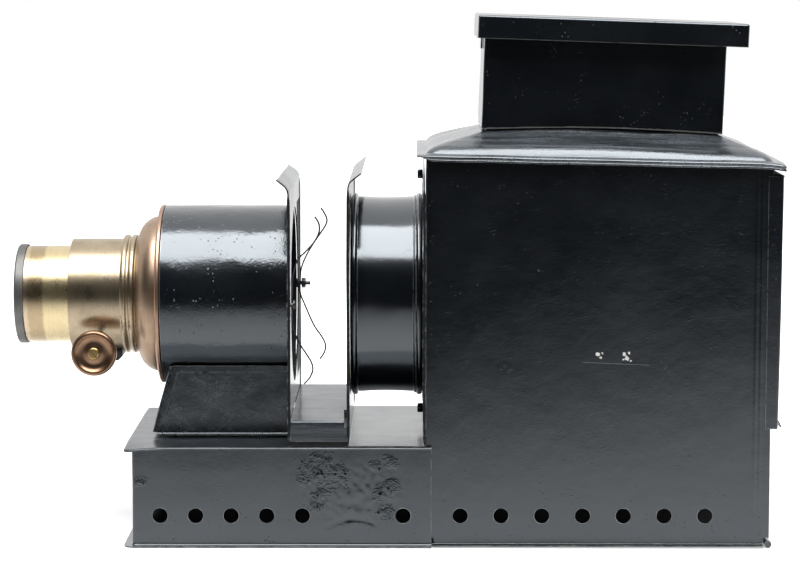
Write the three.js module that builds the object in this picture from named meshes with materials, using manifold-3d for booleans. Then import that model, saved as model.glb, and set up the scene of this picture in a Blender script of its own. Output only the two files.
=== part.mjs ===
// A tinplate magic lantern with an oil lamp, in millimetres, +Z up.
// X runs along the optical axis from the lens (-X) to the lamp door (+X).
// The origin is under the middle of the whole lantern, on the surface it stands on.

import * as THREE from 'three';
import { mergeVertices } from 'three/addons/utils/BufferGeometryUtils.js';
import Module from 'manifold-3d';

const wasm = await Module();
wasm.setup();

// ---------------------------------------------------------------- driving dimensions

const sheet = 0.8;              // thickness of the tinplate
const slip = 0.3;               // gap between pieces that fit or rest together

const bodyWidth = 140;          // lamphouse, outside
const flangeReach = 6;          // how far the foot, the base plate and the eaves stand out
const baseHeight = 58.7;        // top of the base plate
const plateReach = 4.6;         // base plate in front of the base wall
const axisHeight = 139.5;       // optical axis above the foot

const frontStageX = 95.6;       // lens side of the front stage plate, from the plate's front edge
const slideGap = 34;            // from the front stage plate to the condenser cradle
const cradleLength = 44.6;      // cradle of the condenser drum
const houseLength = 198.5;
const houseHeight = 227.5;      // at the front wall
const roofFall = 1.25;          // degrees that the eaves fall towards the door
const lapLength = 3;            // base wall over the lamphouse wall
const backPost = 3;             // posts beside the lamp's way in

const ventRadius = 4.4;
const ventHeight = 18;
const baseVents = [20.8, 41.4, 62, 82.6, 103.3, 161.6];
const houseVentFirst = 194.7;
const houseVentPitch = 23.6;
const houseVentCount = 7;

const roofRise = 13;            // dome over the eaves
const roofFoot = 3.2;           // steep part of that rise, at the dome's foot
const eaveHem = 3.8;
const eaveBack = 7;             // eaves behind the lamphouse wall
const chimneyX = 206.9;         // front of the chimney's foot
const chimneyLength = 140.5;
const chimneyWidth = 80;
const chimneyHeight = 61;
const chimneyLean = 2;          // degrees, top towards the door
const collarHeight = 12;
const collarPlay = 1.2;         // chimney over its collar
const capFront = 4.2;           // cap in front of the chimney
const capBack = 11.6;
const capSide = 10;
const capSkirt = 13.4;
const capRise = 4.5;            // smoke gap between chimney and cap
const strapWidth = 20;
const strapThickness = 1;
const strapLegFront = 15;
const strapLegBack = 8;

const stageInset = 1;           // stage plates inside the base plate's edges
const stageCurl = 7;            // radius of their curled top edges
const curlLip = 5.7;            // flat beyond the curl
const curlTurn = 52;            // degrees
const rearStageTop = 208;       // where the curls start
const frontStageTop = 204.5;
const restTop = 73.9;           // surface that a slide stands on
const restLip = 12;
const restInset = 1;            // rest inside the stage plates' edges

const drumRadius = 58.5;
const beadRadius = 2;           // rolled beads of the drum
const condenserRadius = 50.8;   // a pair of 4 inch lenses
const condenserCrown = 12.5;    // height of their curved faces
const condenserEdge = 3;
const lightRadius = 48.5;       // clear opening of the lens cell

const tubeRadius = 53;          // black front tube
const rimX = 16.5;              // front of the copper rim
const rimThickness = 2.8;
const rimWidth = 9;             // flat of the rim under the bell
const pedestalHalf = 37;
const pedestalFront = 14.1;
const pedestalSlope = 10.5;     // how far its front leans back at the tube
const pedestalFlange = 3;

const jacketRoom = 4.3;         // jacket's outside over the lens tube's outside
const jacketWall = 1.2;
const jacketFront = -36.2;
const collarFront = -5.2;       // turned collar that butts on the bell
const collarBack = 3.8;
const collarStep = 2.5;         // turned collar over the jacket
const bellStep = 3.5;           // bell's neck over the jacket
const bellInset = 6.5;          // bell's foot inside the front tube's outside
const lensTubeRadius = 28.7;
const lensTubeWall = 1.3;
const lensTubeBack = 16;
const ringStep = 1;             // front ring over the lens tube
const ringFront = -68.5;
const ringLength = 5.3;
const frontLensPlay = 0.4;      // front lens in the bore of its tube
const rearLensStep = 4.4;       // rear lens smaller than the bore, for its cell
const rearOpening = 0.913;      // share of the rear lens left clear by its cell

const pinionX = -20.2;
const toothPitch = 1.6;
const pinionTeeth = 12;
const toothDepth = 0.95;
const toothTip = 0.3;           // share of the pitch that is land at a tooth's tip
const rackTravel = 20;          // each way from the rest position
const rackWidth = 5;
const knobRadius = 13.3;
const knobThickness = 6;
const knobGap = 2.2;            // knob beside the jacket
const shaftRadius = 1.6;

const springRadius = 0.5;       // wire of the slide springs
const springY = 57;
const screwRadius = 1.2;

const doorFoot = 69;
const doorTop = 215.3;
const doorDepth = 7.4;          // at the foot
const doorHeadDepth = 9.8;      // at the head, which stands further out
const hingePin = 0.9;
const hingeBarrel = 1.7;
const hingeLength = 24;
const hingeInset = 18;          // from the door's ends

const runnerHeight = 24;
const runnerWidth = 14;
const trayPlay = 0.7;           // between the tray and the posts it slides through
const trayFront = 208;
const trayLength = 156;
const trayWall = 8;
const tankFront = 214;
const tankLength = 122;
const tankWidth = 96;
const tankHeight = 46;
const tankCorner = 10;
const burnerX = 258;
const burnerRadius = 16;
const burnerHeight = 28;
const burnerCone = 16;
const wickWidth = 22;
const wickThickness = 2;
const wickWheel = 3.2;
const wickRoom = 0.35;          // between wick and its tube
const spindleRise = 14;         // wick spindle above the tank
const glassTop = 200;
const glassWall = 1.2;
const fillerX = 306;
const fillerY = 32;
const fillerRadius = 8;
const reflectorX = 318;
const reflectorRadius = 42;
const reflectorDish = 12;

// ---------------------------------------------------------------- places worked out from them

const bodyHalf = bodyWidth / 2;
const flangeHalf = bodyHalf + flangeReach;
const lapHalf = bodyHalf + slip + sheet;
const stageHalf = flangeHalf - stageInset;
const cradleX = frontStageX + slideGap;
const cradleBack = cradleX + cradleLength;
const houseX = cradleBack + slip + 0.5;
const houseBack = houseX + houseLength;
const eaveFrontX = houseX - flangeReach + slip;
const eaveBackX = houseBack + eaveBack;
const fallSlope = Math.tan(THREE.MathUtils.degToRad(roofFall));
const lean = THREE.MathUtils.degToRad(chimneyLean);
const jacketRadius = lensTubeRadius + jacketRoom;
const jacketBore = jacketRadius - jacketWall;
const collarRadius = jacketRadius + collarStep;
const bellNeck = jacketRadius + bellStep;
const ringRadius = lensTubeRadius + ringStep;
const frontLensRadius = lensTubeRadius - lensTubeWall - frontLensPlay;
const rearLensRadius = lensTubeRadius - lensTubeWall - rearLensStep;
const pitchRadius = (toothPitch * pinionTeeth) / (2 * Math.PI);
const rackPitchDrop = lensTubeRadius - 0.75;
const pinionZ = axisHeight - rackPitchDrop - pitchRadius;
const trayHalf = bodyHalf - sheet - slip - backPost - trayPlay;
const hingeX = houseBack - 3.6;
const hingeY = bodyHalf + 2 * slip + sheet + hingeBarrel;
const tankFoot = runnerHeight + sheet * 2 + slip * 2;
const tankTop = tankFoot + tankHeight;
const burnerFoot = tankTop + slip;
const galleryZ = burnerFoot + burnerHeight;
const spindleZ = tankTop + spindleRise;
const spindleY = -(wickThickness / 2 + 0.2 + wickWheel);
const middleX = (ringFront + eaveBackX) / 2;

// ---------------------------------------------------------------- making and cutting solids

const FINE = 32;
const MEDIUM = 24;
const COARSE = 14;

function solidOf(geometry) {
  const bare = geometry.clone();
  bare.deleteAttribute('normal');
  bare.deleteAttribute('uv');
  const merged = mergeVertices(bare, 1e-4);
  const kept = [];
  const order = merged.index.array;
  for (let i = 0; i < order.length; i += 3) {
    const [a, b, c] = [order[i], order[i + 1], order[i + 2]];
    if (a !== b && b !== c && c !== a) {
      kept.push(a, b, c);
    }
  }
  return new wasm.Manifold(new wasm.Mesh({
    numProp: 3,
    vertProperties: new Float32Array(merged.attributes.position.array),
    triVerts: new Uint32Array(kept),
  }));
}

function geometryOf(solid) {
  const mesh = solid.getMesh();
  const geometry = new THREE.BufferGeometry();
  geometry.setAttribute('position', new THREE.BufferAttribute(new Float32Array(mesh.vertProperties), 3));
  geometry.setIndex(new THREE.BufferAttribute(new Uint32Array(mesh.triVerts), 1));
  return geometry;
}

function join(...geometries) {
  return geometryOf(geometries.map(solidOf).reduce((whole, next) => whole.add(next)));
}

function cut(geometry, ...tools) {
  return geometryOf(tools.map(solidOf).reduce((whole, tool) => whole.subtract(tool), solidOf(geometry)));
}

function box(xMin, xMax, yMin, yMax, zMin, zMax) {
  const geometry = new THREE.BoxGeometry(xMax - xMin, yMax - yMin, zMax - zMin);
  return geometry.translate((xMin + xMax) / 2, (yMin + yMax) / 2, (zMin + zMax) / 2);
}

function outline(points) {
  return new THREE.Shape(points.map(([a, b]) => new THREE.Vector2(a, b)));
}

function extruded(points, depth) {
  return new THREE.ExtrudeGeometry(outline(points), { depth, bevelEnabled: false });
}

// An outline in X and Z, from yMin to yMax.
function prismAcross(points, yMin, yMax) {
  return extruded(points, yMax - yMin).rotateX(Math.PI / 2).translate(0, yMax, 0);
}

// An outline in Y and Z, from xMin to xMax.
function prismAlong(points, xMin, xMax) {
  const turn = new THREE.Matrix4().makeBasis(
    new THREE.Vector3(0, 1, 0),
    new THREE.Vector3(0, 0, 1),
    new THREE.Vector3(1, 0, 0),
  );
  return extruded(points, xMax - xMin).applyMatrix4(turn).translate(xMin, 0, 0);
}

// An outline in X and Y, from zMin to zMax.
function prismUp(points, zMin, zMax) {
  return extruded(points, zMax - zMin).translate(0, 0, zMin);
}

function signedVolume(geometry) {
  const flat = geometry.index ? geometry.toNonIndexed() : geometry;
  const place = flat.attributes.position;
  const [a, b, c] = [new THREE.Vector3(), new THREE.Vector3(), new THREE.Vector3()];
  let sum = 0;
  for (let i = 0; i < place.count; i += 3) {
    a.fromBufferAttribute(place, i);
    b.fromBufferAttribute(place, i + 1);
    c.fromBufferAttribute(place, i + 2);
    sum += a.dot(b.cross(c));
  }
  return sum / 6;
}

function lathed(profile, sides) {
  const turned = new THREE.LatheGeometry(outline(profile).getPoints(), sides);
  if (signedVolume(turned) < 0) {
    return new THREE.LatheGeometry(outline([...profile].reverse()).getPoints(), sides);
  }
  return turned;
}

// A profile of [x, radius], turned about the line along X through y and z.
function turnedAlong(profile, sides, y = 0, z = axisHeight) {
  const swapped = profile.map(([x, radius]) => [radius, x]);
  return lathed(swapped, sides).rotateZ(-Math.PI / 2).translate(0, y, z);
}

// A profile of [z, radius], turned about the upright line through x and y.
function turnedUp(profile, sides, x, y = 0) {
  const swapped = profile.map(([z, radius]) => [radius, z]);
  return lathed(swapped, sides).rotateX(Math.PI / 2).translate(x, y, 0);
}

// A profile of [y, radius], turned about the line along Y through x and z.
function turnedAcross(profile, sides, x, z) {
  const swapped = profile.map(([y, radius]) => [radius, y]);
  return lathed(swapped, sides).translate(x, 0, z);
}

function rodAlong(xMin, xMax, radius, sides, y = 0, z = axisHeight) {
  return turnedAlong([[xMin, 0], [xMin, radius], [xMax, radius], [xMax, 0]], sides, y, z);
}

function rodUp(zMin, zMax, radius, sides, x, y = 0) {
  return turnedUp([[zMin, 0], [zMin, radius], [zMax, radius], [zMax, 0]], sides, x, y);
}

function rodAcross(yMin, yMax, radius, sides, x, z) {
  return turnedAcross([[yMin, 0], [yMin, radius], [yMax, radius], [yMax, 0]], sides, x, z);
}

function pipeAlong(xMin, xMax, outer, inner, sides) {
  return turnedAlong([[xMin, inner], [xMin, outer], [xMax, outer], [xMax, inner], [xMin, inner]], sides);
}

// The outline of a sheet bent along a path, with its thickness on the path's left.
function bentSheet(path, thickness) {
  const shifted = path.map(([a, b], i) => {
    const before = path[Math.max(i - 1, 0)];
    const after = path[Math.min(i + 1, path.length - 1)];
    const into = new THREE.Vector2(a - before[0], b - before[1]).normalize();
    const away = new THREE.Vector2(after[0] - a, after[1] - b).normalize();
    if (i === 0) {
      into.copy(away);
    }
    if (i === path.length - 1) {
      away.copy(into);
    }
    const sideways = new THREE.Vector2(-into.y - away.y, into.x + away.x).normalize();
    const reach = thickness / Math.max(sideways.dot(new THREE.Vector2(-into.y, into.x)), 0.3);
    return [a + sideways.x * reach, b + sideways.y * reach];
  });
  return [...path, ...shifted.reverse()];
}

function arc(centreA, centreB, radius, from, to, steps) {
  const points = [];
  for (let i = 0; i <= steps; i += 1) {
    const angle = THREE.MathUtils.degToRad(from + ((to - from) * i) / steps);
    points.push([centreA + radius * Math.cos(angle), centreB + radius * Math.sin(angle)]);
  }
  return points;
}

// Lets the roof and what stands on it follow the falling eaves.
function fallen(geometry) {
  const place = geometry.attributes.position;
  for (let i = 0; i < place.count; i += 1) {
    place.setZ(i, place.getZ(i) - fallSlope * (place.getX(i) - houseX));
  }
  return geometry;
}

function eaveAt(x) {
  return houseHeight - fallSlope * (x - houseX);
}

// ---------------------------------------------------------------- finishes

function finish(color, roughness, metalness) {
  return new THREE.MeshStandardMaterial({ color, roughness, metalness });
}

const japan = finish(0x1c2024, 0.35, 0.3);
const brass = finish(0xa98d55, 0.3, 0.9);
const yellowBrass = finish(0xc9b060, 0.25, 0.95);
const copper = finish(0x8a5c40, 0.35, 0.85);
const darkRing = finish(0x33373c, 0.55, 0.4);
const steel = finish(0x4a4a4c, 0.4, 0.8);
const glass = finish(0xdfe8e6, 0.05, 0.0);
const silvered = finish(0xd8d8d4, 0.08, 1.0);
const cotton = finish(0xe4dcc6, 0.95, 0.0);

const lantern = new THREE.Group();
lantern.position.x = -middleX;

function add(name, geometry, material, parent = lantern) {
  const mesh = new THREE.Mesh(geometry, material);
  mesh.name = name;
  parent.add(mesh);
  return mesh;
}

// ---------------------------------------------------------------- base

function ventRods(places) {
  return places.map((x) => rodAcross(-lapHalf - 9, lapHalf + 9, ventRadius, COARSE, x, ventHeight));
}

function baseShell() {
  const lapEnd = houseX + lapLength;
  const wallTop = baseHeight - sheet - slip;
  const outside = join(
    box(plateReach, lapEnd, -lapHalf, lapHalf, 0, wallTop),
    box(0, lapEnd, -flangeHalf, flangeHalf, 0, sheet),
  );
  const inside = box(plateReach + sheet, lapEnd + 9, -lapHalf + sheet, lapHalf - sheet, -9, wallTop + 9);
  return cut(outside, inside, ...ventRods(baseVents));
}

function baseTop() {
  const seam = houseX - slip;
  const lapEnd = houseX + lapLength;
  const lapY = bodyHalf + slip;
  const plate = prismUp([
    [0, -flangeHalf], [lapEnd, -flangeHalf], [lapEnd, -lapY], [seam, -lapY],
    [seam, lapY], [lapEnd, lapY], [lapEnd, flangeHalf], [0, flangeHalf],
  ], baseHeight - sheet, baseHeight);
  const hemWidth = 3.2;
  const hem = cut(
    box(0, lapEnd, -flangeHalf, flangeHalf, baseHeight - sheet * 2, baseHeight - sheet / 2),
    box(hemWidth, lapEnd + 9, -flangeHalf + hemWidth, flangeHalf - hemWidth, 0, houseHeight),
  );
  return join(plate, hem);
}

function baseParts() {
  add('base_shell', baseShell(), japan);
  add('base_top', baseTop(), japan);
}

// ---------------------------------------------------------------- lamphouse

const sillRadius = 2;
const sillNotch = 5.2;

function houseWall(side) {
  const notchX = houseBack - 3.5;
  const wall = prismAcross([
    [houseX, 0], [notchX, 0], [notchX, sillNotch], [houseBack, sillNotch],
    [houseBack, eaveAt(houseBack) - sheet - slip], [houseX, eaveAt(houseX) - sheet - slip],
  ], bodyHalf - sheet, bodyHalf);
  const foot = box(houseX + lapLength + slip, notchX, bodyHalf - sheet / 2, flangeHalf, 0, sheet);
  const vents = [];
  for (let i = 0; i < houseVentCount; i += 1) {
    vents.push(houseVentFirst + i * houseVentPitch);
  }
  const far = cut(join(wall, foot), ...ventRods(vents));
  return side > 0 ? far : mirrored(far);
}

// The same piece on the other side of the optical axis.
function mirrored(geometry) {
  const other = geometry.clone().scale(1, -1, 1);
  const order = other.index.array;
  for (let i = 0; i < order.length; i += 3) {
    [order[i], order[i + 1]] = [order[i + 1], order[i]];
  }
  return other;
}

function houseFront() {
  const half = bodyHalf - sheet - slip;
  const top = eaveAt(houseX) - sheet - slip * 2;
  const wall = box(houseX, houseX + sheet, -half, half, baseHeight - restLip, top);
  return cut(wall, rodAlong(houseX - 9, houseX + 9, condenserRadius, FINE));
}

function houseBackFrame() {
  const half = bodyHalf - sheet - slip;
  const top = eaveAt(houseBack) - sheet - slip * 2;
  const header = doorTop - 11;
  const wall = box(houseBack - sheet, houseBack, -half, half, sillNotch, top);
  return cut(wall, box(houseBack - 9, houseBack + 9, -half + backPost, half - backPost, -9, header));
}

function backSill() {
  return rodAcross(-flangeHalf + 1, flangeHalf - 1, sillRadius, COARSE, houseBack - 1, sillRadius + 0.3);
}

// One level of the roof: a rectangle with rounded corners.
function roofRing(front, back, half, z, corner) {
  const points = [
    ...arc(back - corner, half - corner, corner, 0, 90, 3),
    ...arc(front + corner, half - corner, corner, 90, 180, 3),
    ...arc(front + corner, -half + corner, corner, 180, 270, 3),
    ...arc(back - corner, -half + corner, corner, 270, 360, 3),
  ];
  return points.map(([x, y]) => [x, y, z]);
}

// A tube-like solid through rings that close on themselves.
function ringSolid(rings) {
  const across = rings[0].length;
  const order = [];
  for (let i = 0; i < rings.length; i += 1) {
    for (let j = 0; j < across; j += 1) {
      const [a, b] = [i * across + j, i * across + ((j + 1) % across)];
      const next = (i + 1) % rings.length;
      const [c, d] = [next * across + j, next * across + ((j + 1) % across)];
      order.push(a, b, d, a, d, c);
    }
  }
  const geometry = new THREE.BufferGeometry();
  const places = new Float32Array(rings.flat(2));
  geometry.setAttribute('position', new THREE.BufferAttribute(places, 3));
  geometry.setIndex(order);
  return geometry;
}

const roofHole = {
  front: chimneyX + sheet + collarPlay,
  back: chimneyX + chimneyLength - sheet - collarPlay,
  half: chimneyWidth / 2 - sheet - collarPlay,
};

function roof() {
  const steps = 6;
  const domeCorner = 6;
  const dome = (drop) => {
    const rings = [];
    for (let i = 0; i <= steps; i += 1) {
      const share = i / steps;
      const mix = (from, to) => from + (to - from) * share;
      const rise = roofFoot * (1 - Math.exp(-12 * share)) + (roofRise - roofFoot) * share;
      rings.push(roofRing(
        mix(houseX, roofHole.front),
        mix(houseBack, roofHole.back),
        mix(bodyHalf, roofHole.half),
        houseHeight + rise - drop,
        mix(domeCorner, 1),
      ));
    }
    return rings;
  };
  const eave = (inset, drop) => roofRing(
    eaveFrontX + inset,
    eaveBackX - inset,
    flangeHalf - inset,
    houseHeight - drop,
    2,
  );
  return fallen(ringSolid([
    eave(0, eaveHem),
    eave(0, 0),
    ...dome(0),
    ...dome(sheet).reverse(),
    eave(sheet, sheet),
    eave(sheet, eaveHem),
  ]));
}

function houseParts() {
  add('house_wall_near', houseWall(-1), japan);
  add('house_wall_far', houseWall(1), japan);
  add('house_front', houseFront(), japan);
  add('house_back', houseBackFrame(), japan);
  add('back_sill', backSill(), japan);
  add('roof', roof(), japan);
}

// ---------------------------------------------------------------- chimney

function chimneyCollar() {
  const [front, back] = [roofHole.front + slip, roofHole.back - slip];
  const half = roofHole.half - slip;
  const foot = houseHeight + roofRise - 3;
  const top = houseHeight + roofRise + collarHeight;
  return fallen(cut(
    box(front, back, -half, half, foot, top),
    box(front + sheet, back - sheet, -half + sheet, half - sheet, foot - 9, top + 9),
  ));
}

function chimneyBox() {
  const half = chimneyWidth / 2;
  const backFoot = chimneyLength * (Math.tan(lean) - fallSlope);
  const walls = prismAcross([
    [0, 0], [chimneyLength, backFoot], [chimneyLength, chimneyHeight], [0, chimneyHeight],
  ], -half, half);
  const flue = box(sheet, chimneyLength - sheet, -half + sheet, half - sheet, -9, chimneyHeight + 9);
  return cut(walls, flue);
}

function chimneyCap() {
  const top = chimneyHeight + capRise + sheet;
  const [front, back, half] = [-capFront, chimneyLength + capBack, chimneyWidth / 2 + capSide];
  return cut(
    box(front, back, -half, half, top - capSkirt, top),
    box(front + sheet, back - sheet, -half + sheet, half - sheet, -9, top - sheet),
  );
}

function capStrap() {
  const out = slip + strapThickness;
  const top = chimneyHeight + capRise - slip;
  const path = [
    [-out, chimneyHeight - strapLegFront],
    [-out, top],
    [chimneyLength + out, top],
    [chimneyLength + out, chimneyHeight - strapLegBack],
  ];
  const profile = bentSheet([...path].reverse(), strapThickness);
  return prismAcross(profile, -strapWidth / 2, strapWidth / 2);
}

function chimneyParts() {
  add('chimney_collar', chimneyCollar(), japan);
  const chimney = new THREE.Group();
  const roofTop = houseHeight + roofRise - fallSlope * (chimneyX - houseX);
  chimney.position.set(chimneyX, 0, roofTop + slip + 0.2);
  chimney.rotation.y = lean;
  lantern.add(chimney);
  add('chimney', chimneyBox(), japan, chimney);
  add('chimney_cap', chimneyCap(), japan, chimney);
  add('cap_strap', capStrap(), japan, chimney);
}

// ---------------------------------------------------------------- condenser

// Points up a plate whose top edge turns over towards +X (side 1) or -X (side -1).
function curledEdge(x, top, side) {
  const bend = arc(0, 0, stageCurl, 180, 180 - curlTurn, 4);
  const points = bend.map(([a, b]) => [x + side * (a + stageCurl), top + b]);
  const turn = THREE.MathUtils.degToRad(curlTurn);
  const [lastX, lastZ] = points[points.length - 1];
  points.push([lastX + side * curlLip * Math.sin(turn), lastZ + curlLip * Math.cos(turn)]);
  return points;
}

function condenserCradle() {
  const backTop = eaveAt(houseX) - 11.5;
  const path = [
    ...curledEdge(cradleX, rearStageTop, 1).reverse(),
    [cradleX, baseHeight + slip],
    [cradleBack, baseHeight + slip],
    [cradleBack, backTop],
  ];
  const frame = prismAcross(bentSheet(path, sheet), -stageHalf, stageHalf);
  return cut(frame, rodAlong(cradleX - 9, cradleBack + 9, condenserRadius, FINE));
}

const drumFront = cradleX + sheet + slip;
const drumBack = cradleBack - sheet - slip;

function condenserDrum() {
  const bead = (x) => arc(0, 0, beadRadius, 180, 0, 4).map(([a, b]) => [x + a, drumRadius + b]);
  const inner = drumRadius - sheet;
  const beadRoom = beadRadius + 0.2;
  return turnedAlong([
    [drumFront, inner],
    [drumFront, drumRadius],
    ...bead(drumFront + beadRoom),
    ...bead(drumBack - beadRoom),
    [drumBack, drumRadius],
    [drumBack, inner],
    [drumFront, inner],
  ], FINE);
}

const cellFront = drumFront + 1;
const cellBack = drumBack - 1;
const cellBore = condenserRadius + slip;
const lipThickness = 1.2;

function condenserCell() {
  const outer = cellBore + sheet;
  const seat = drumRadius - sheet - slip;
  return turnedAlong([
    [cellFront, lightRadius],
    [cellFront, seat],
    [cellFront + lipThickness, seat],
    [cellFront + lipThickness, outer],
    [cellBack - lipThickness, outer],
    [cellBack - lipThickness, seat],
    [cellBack, seat],
    [cellBack, cellBore],
    [cellFront + lipThickness, cellBore],
    [cellFront + lipThickness, lightRadius],
    [cellFront, lightRadius],
  ], FINE);
}

// Height of a ball-shaped face over its own edge, at distance r from the middle.
function crownAt(r, radius, crown) {
  const curve = (radius * radius + crown * crown) / (2 * crown);
  return Math.sqrt(curve * curve - r * r) - (curve - crown);
}

// A plano-convex lens of [x, radius], from its flat face at x towards +X or -X.
function planoConvex(flat, radius, edge, crown, direction, sides) {
  const steps = 5;
  const profile = [[flat, 0], [flat, radius]];
  for (let i = 0; i <= steps; i += 1) {
    const r = radius * (1 - i / steps);
    profile.push([flat + direction * (edge + crownAt(r, radius, crown)), r]);
  }
  return turnedAlong(profile, sides);
}

const frontFlat = cellFront + lipThickness + slip;
const retainerThickness = 1.6;
const backFlat = cellBack - retainerThickness - slip;

function condenserSpacer() {
  const inner = condenserRadius - sheet;
  const gap = condenserEdge + slip + crownAt(inner, condenserRadius, condenserCrown);
  return pipeAlong(frontFlat + gap, backFlat - gap, condenserRadius, inner, FINE);
}

function condenserRetainer() {
  return pipeAlong(cellBack - retainerThickness, cellBack, condenserRadius, lightRadius, FINE);
}

function cradleClip(z) {
  const [thick, half] = [3.2, 2.6];
  const x = cradleBack - sheet - slip;
  return box(x - thick, x, -half, half, z - half, z + half);
}

function condenserParts() {
  add('condenser_cradle', condenserCradle(), japan);
  add('condenser_drum', condenserDrum(), japan);
  add('condenser_cell', condenserCell(), brass);
  add('condenser_lens_front',
    planoConvex(frontFlat, condenserRadius, condenserEdge, condenserCrown, 1, FINE), glass);
  add('condenser_lens_back',
    planoConvex(backFlat, condenserRadius, condenserEdge, condenserCrown, -1, FINE), glass);
  add('condenser_spacer', condenserSpacer(), brass);
  add('condenser_retainer', condenserRetainer(), brass);
  add('cradle_clip_top', cradleClip(axisHeight + drumRadius + 13.5), japan);
  add('cradle_clip_bottom', cradleClip(axisHeight - drumRadius - 10.5), japan);
}

// ---------------------------------------------------------------- slide stage

function slideRest() {
  const half = stageHalf - restInset;
  const front = frontStageX + sheet + slip;
  const back = cradleX - slip;
  return prismAlong(bentSheet([
    [half, restTop - restLip], [half, restTop], [-half, restTop], [-half, restTop - restLip],
  ], sheet), front, back);
}

function restTab() {
  const x = cradleX - slip;
  const y = restInset - stageHalf - slip;
  return box(x - 1.7, x, y - 0.6, y, restTop - 4, restTop + 7);
}

function frontStage() {
  const face = frontStageX + sheet;
  const path = [[face, baseHeight + slip], ...curledEdge(face, frontStageTop, -1)];
  const plate = prismAcross(bentSheet(path, sheet), -stageHalf, stageHalf);
  const holes = [-1, 1].map((side) => rodAlong(
    frontStageX - 9, frontStageX + 9, screwRadius + 0.2, COARSE / 2, side * (springY + screwOffset)));
  return cut(plate, rodAlong(frontStageX - 9, frontStageX + 9, tubeRadius - sheet, FINE), ...holes);
}

const screwOffset = springRadius + screwRadius + slip;
const wireX = frontStageX + sheet + slip + springRadius;

// A bowed wire whose two arms press a slide towards the condenser.
function slideSpring(side, bulge, armUp, armDown) {
  const path = [
    [wireX + bulge - 3.4, armUp + 5.5],
    [wireX + bulge - 0.8, armUp],
    [wireX + bulge, armUp - 5],
    [wireX + bulge - 3, armUp - 11],
    [wireX + bulge * 0.38, armUp - 23],
    [wireX, axisHeight + 9],
    [wireX, axisHeight],
    [wireX, axisHeight - 9],
    [wireX + bulge * 0.3, armDown + 20],
    [wireX + bulge - 5, armDown + 9],
    [wireX + bulge - 4, armDown + 3],
    [wireX + bulge - 8.5, armDown - 5],
  ];
  const curve = new THREE.CatmullRomCurve3(
    path.map(([x, z]) => new THREE.Vector3(x, side * springY, z)), false, 'centripetal');
  const section = new THREE.Shape().absarc(0, 0, springRadius, 0, 2 * Math.PI, false);
  const wire = new THREE.Shape(section.getPoints(2).slice(0, -1));
  return new THREE.ExtrudeGeometry(wire, { steps: 36, bevelEnabled: false, extrudePath: curve });
}

function springScrew(side, headX, headLength, tipX) {
  const y = side * (springY + screwOffset);
  const [from, to] = [Math.min(headX, headX + headLength), Math.max(headX, headX + headLength)];
  const shank = rodAlong(Math.min(from, tipX), Math.max(to, tipX), screwRadius, COARSE / 2, y);
  return join(rodAlong(from, to, 2.8, COARSE, y), shank);
}

function springNut() {
  const y = springY + screwOffset;
  const x = wireX + springRadius + slip;
  return cut(rodAlong(x, x + 2.6, 3.2, 6, y), rodAlong(x - 9, x + 9, screwRadius + 0.2, COARSE / 2, y));
}

function stageParts() {
  add('slide_rest', slideRest(), japan);
  add('rest_tab', restTab(), japan);
  add('front_stage', frontStage(), japan);
  add('spring_near', slideSpring(-1, 15, axisHeight + 46, axisHeight - 41.5), steel);
  add('spring_far', slideSpring(1, 15.8, axisHeight + 41, axisHeight - 42.5), steel);
  const headX = wireX + springRadius + slip;
  add('spring_screw_near', springScrew(-1, headX, 1.6, frontStageX - 1.5), steel);
  add('spring_screw_far', springScrew(1, frontStageX - slip, -1.6, headX + 5.5), steel);
  add('spring_nut_far', springNut(), steel);
}

// ---------------------------------------------------------------- front tube and its pedestal

const rimBack = rimX + rimThickness;

function frontTube() {
  return pipeAlong(rimBack + slip, frontStageX - slip, tubeRadius, tubeRadius - sheet, FINE);
}

function pedestal() {
  const [foot, top] = [baseHeight + slip, axisHeight];
  const back = frontStageX - slip;
  const rise = axisHeight - foot;
  const leanBack = (pedestalSlope / (rise * 0.48)) * rise;
  const shell = (inset, lower) => prismAcross([
    [pedestalFront + inset, foot - lower],
    [back + (lower ? 9 : 0), foot - lower],
    [back + (lower ? 9 : 0), top],
    [pedestalFront + inset + leanBack, top],
  ], -pedestalHalf - slip + inset, pedestalHalf + slip - inset);
  const footHalf = pedestalHalf + pedestalFlange;
  const walls = join(
    shell(0, 0),
    box(pedestalFront, back, -footHalf, footHalf, foot, foot + sheet),
  );
  const tubeRoom = rodAlong(-99, back + 99, tubeRadius + slip, FINE);
  const above = box(-99, back + 99, -99, 99, axisHeight - 36.5, axisHeight + 99);
  return cut(walls, shell(sheet, 1), tubeRoom, above);
}

function lensFlange() {
  const spigot = tubeRadius - sheet - slip;
  return turnedAlong([
    [rimX, tubeRadius - rimWidth],
    [rimX, tubeRadius - 0.7],
    [rimX + 0.9, tubeRadius + 0.3],
    [rimBack - 0.4, tubeRadius + 0.3],
    [rimBack, tubeRadius - 0.4],
    [rimBack, spigot],
    [rimBack + 5, spigot],
    [rimBack + 5, spigot - 1.2],
    [rimX + 1.4, spigot - 1.2],
    [rimX + 1.4, tubeRadius - rimWidth],
    [rimX, tubeRadius - rimWidth],
  ], FINE);
}

// ---------------------------------------------------------------- lens mount

const bellThickness = 1.2;

function bell() {
  const front = collarBack + slip;
  const back = rimX - slip;
  const steps = 6;
  const outer = [];
  for (let i = 0; i <= steps; i += 1) {
    const angle = (Math.PI / 2) * (i / steps);
    outer.push([
      back - (back - front) * Math.cos(angle),
      bellNeck + (tubeRadius - bellInset - bellNeck) * Math.sin(angle) ** 1.3,
    ]);
  }
  const inner = outer.map(([x, r]) => [x + bellThickness, r - bellThickness]).reverse();
  inner[0][0] = back;
  const bore = jacketRadius + slip;
  return turnedAlong([
    [front, bore],
    ...outer,
    ...inner,
    [front + bellThickness, bore],
    [front, bore],
  ], FINE);
}

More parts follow.
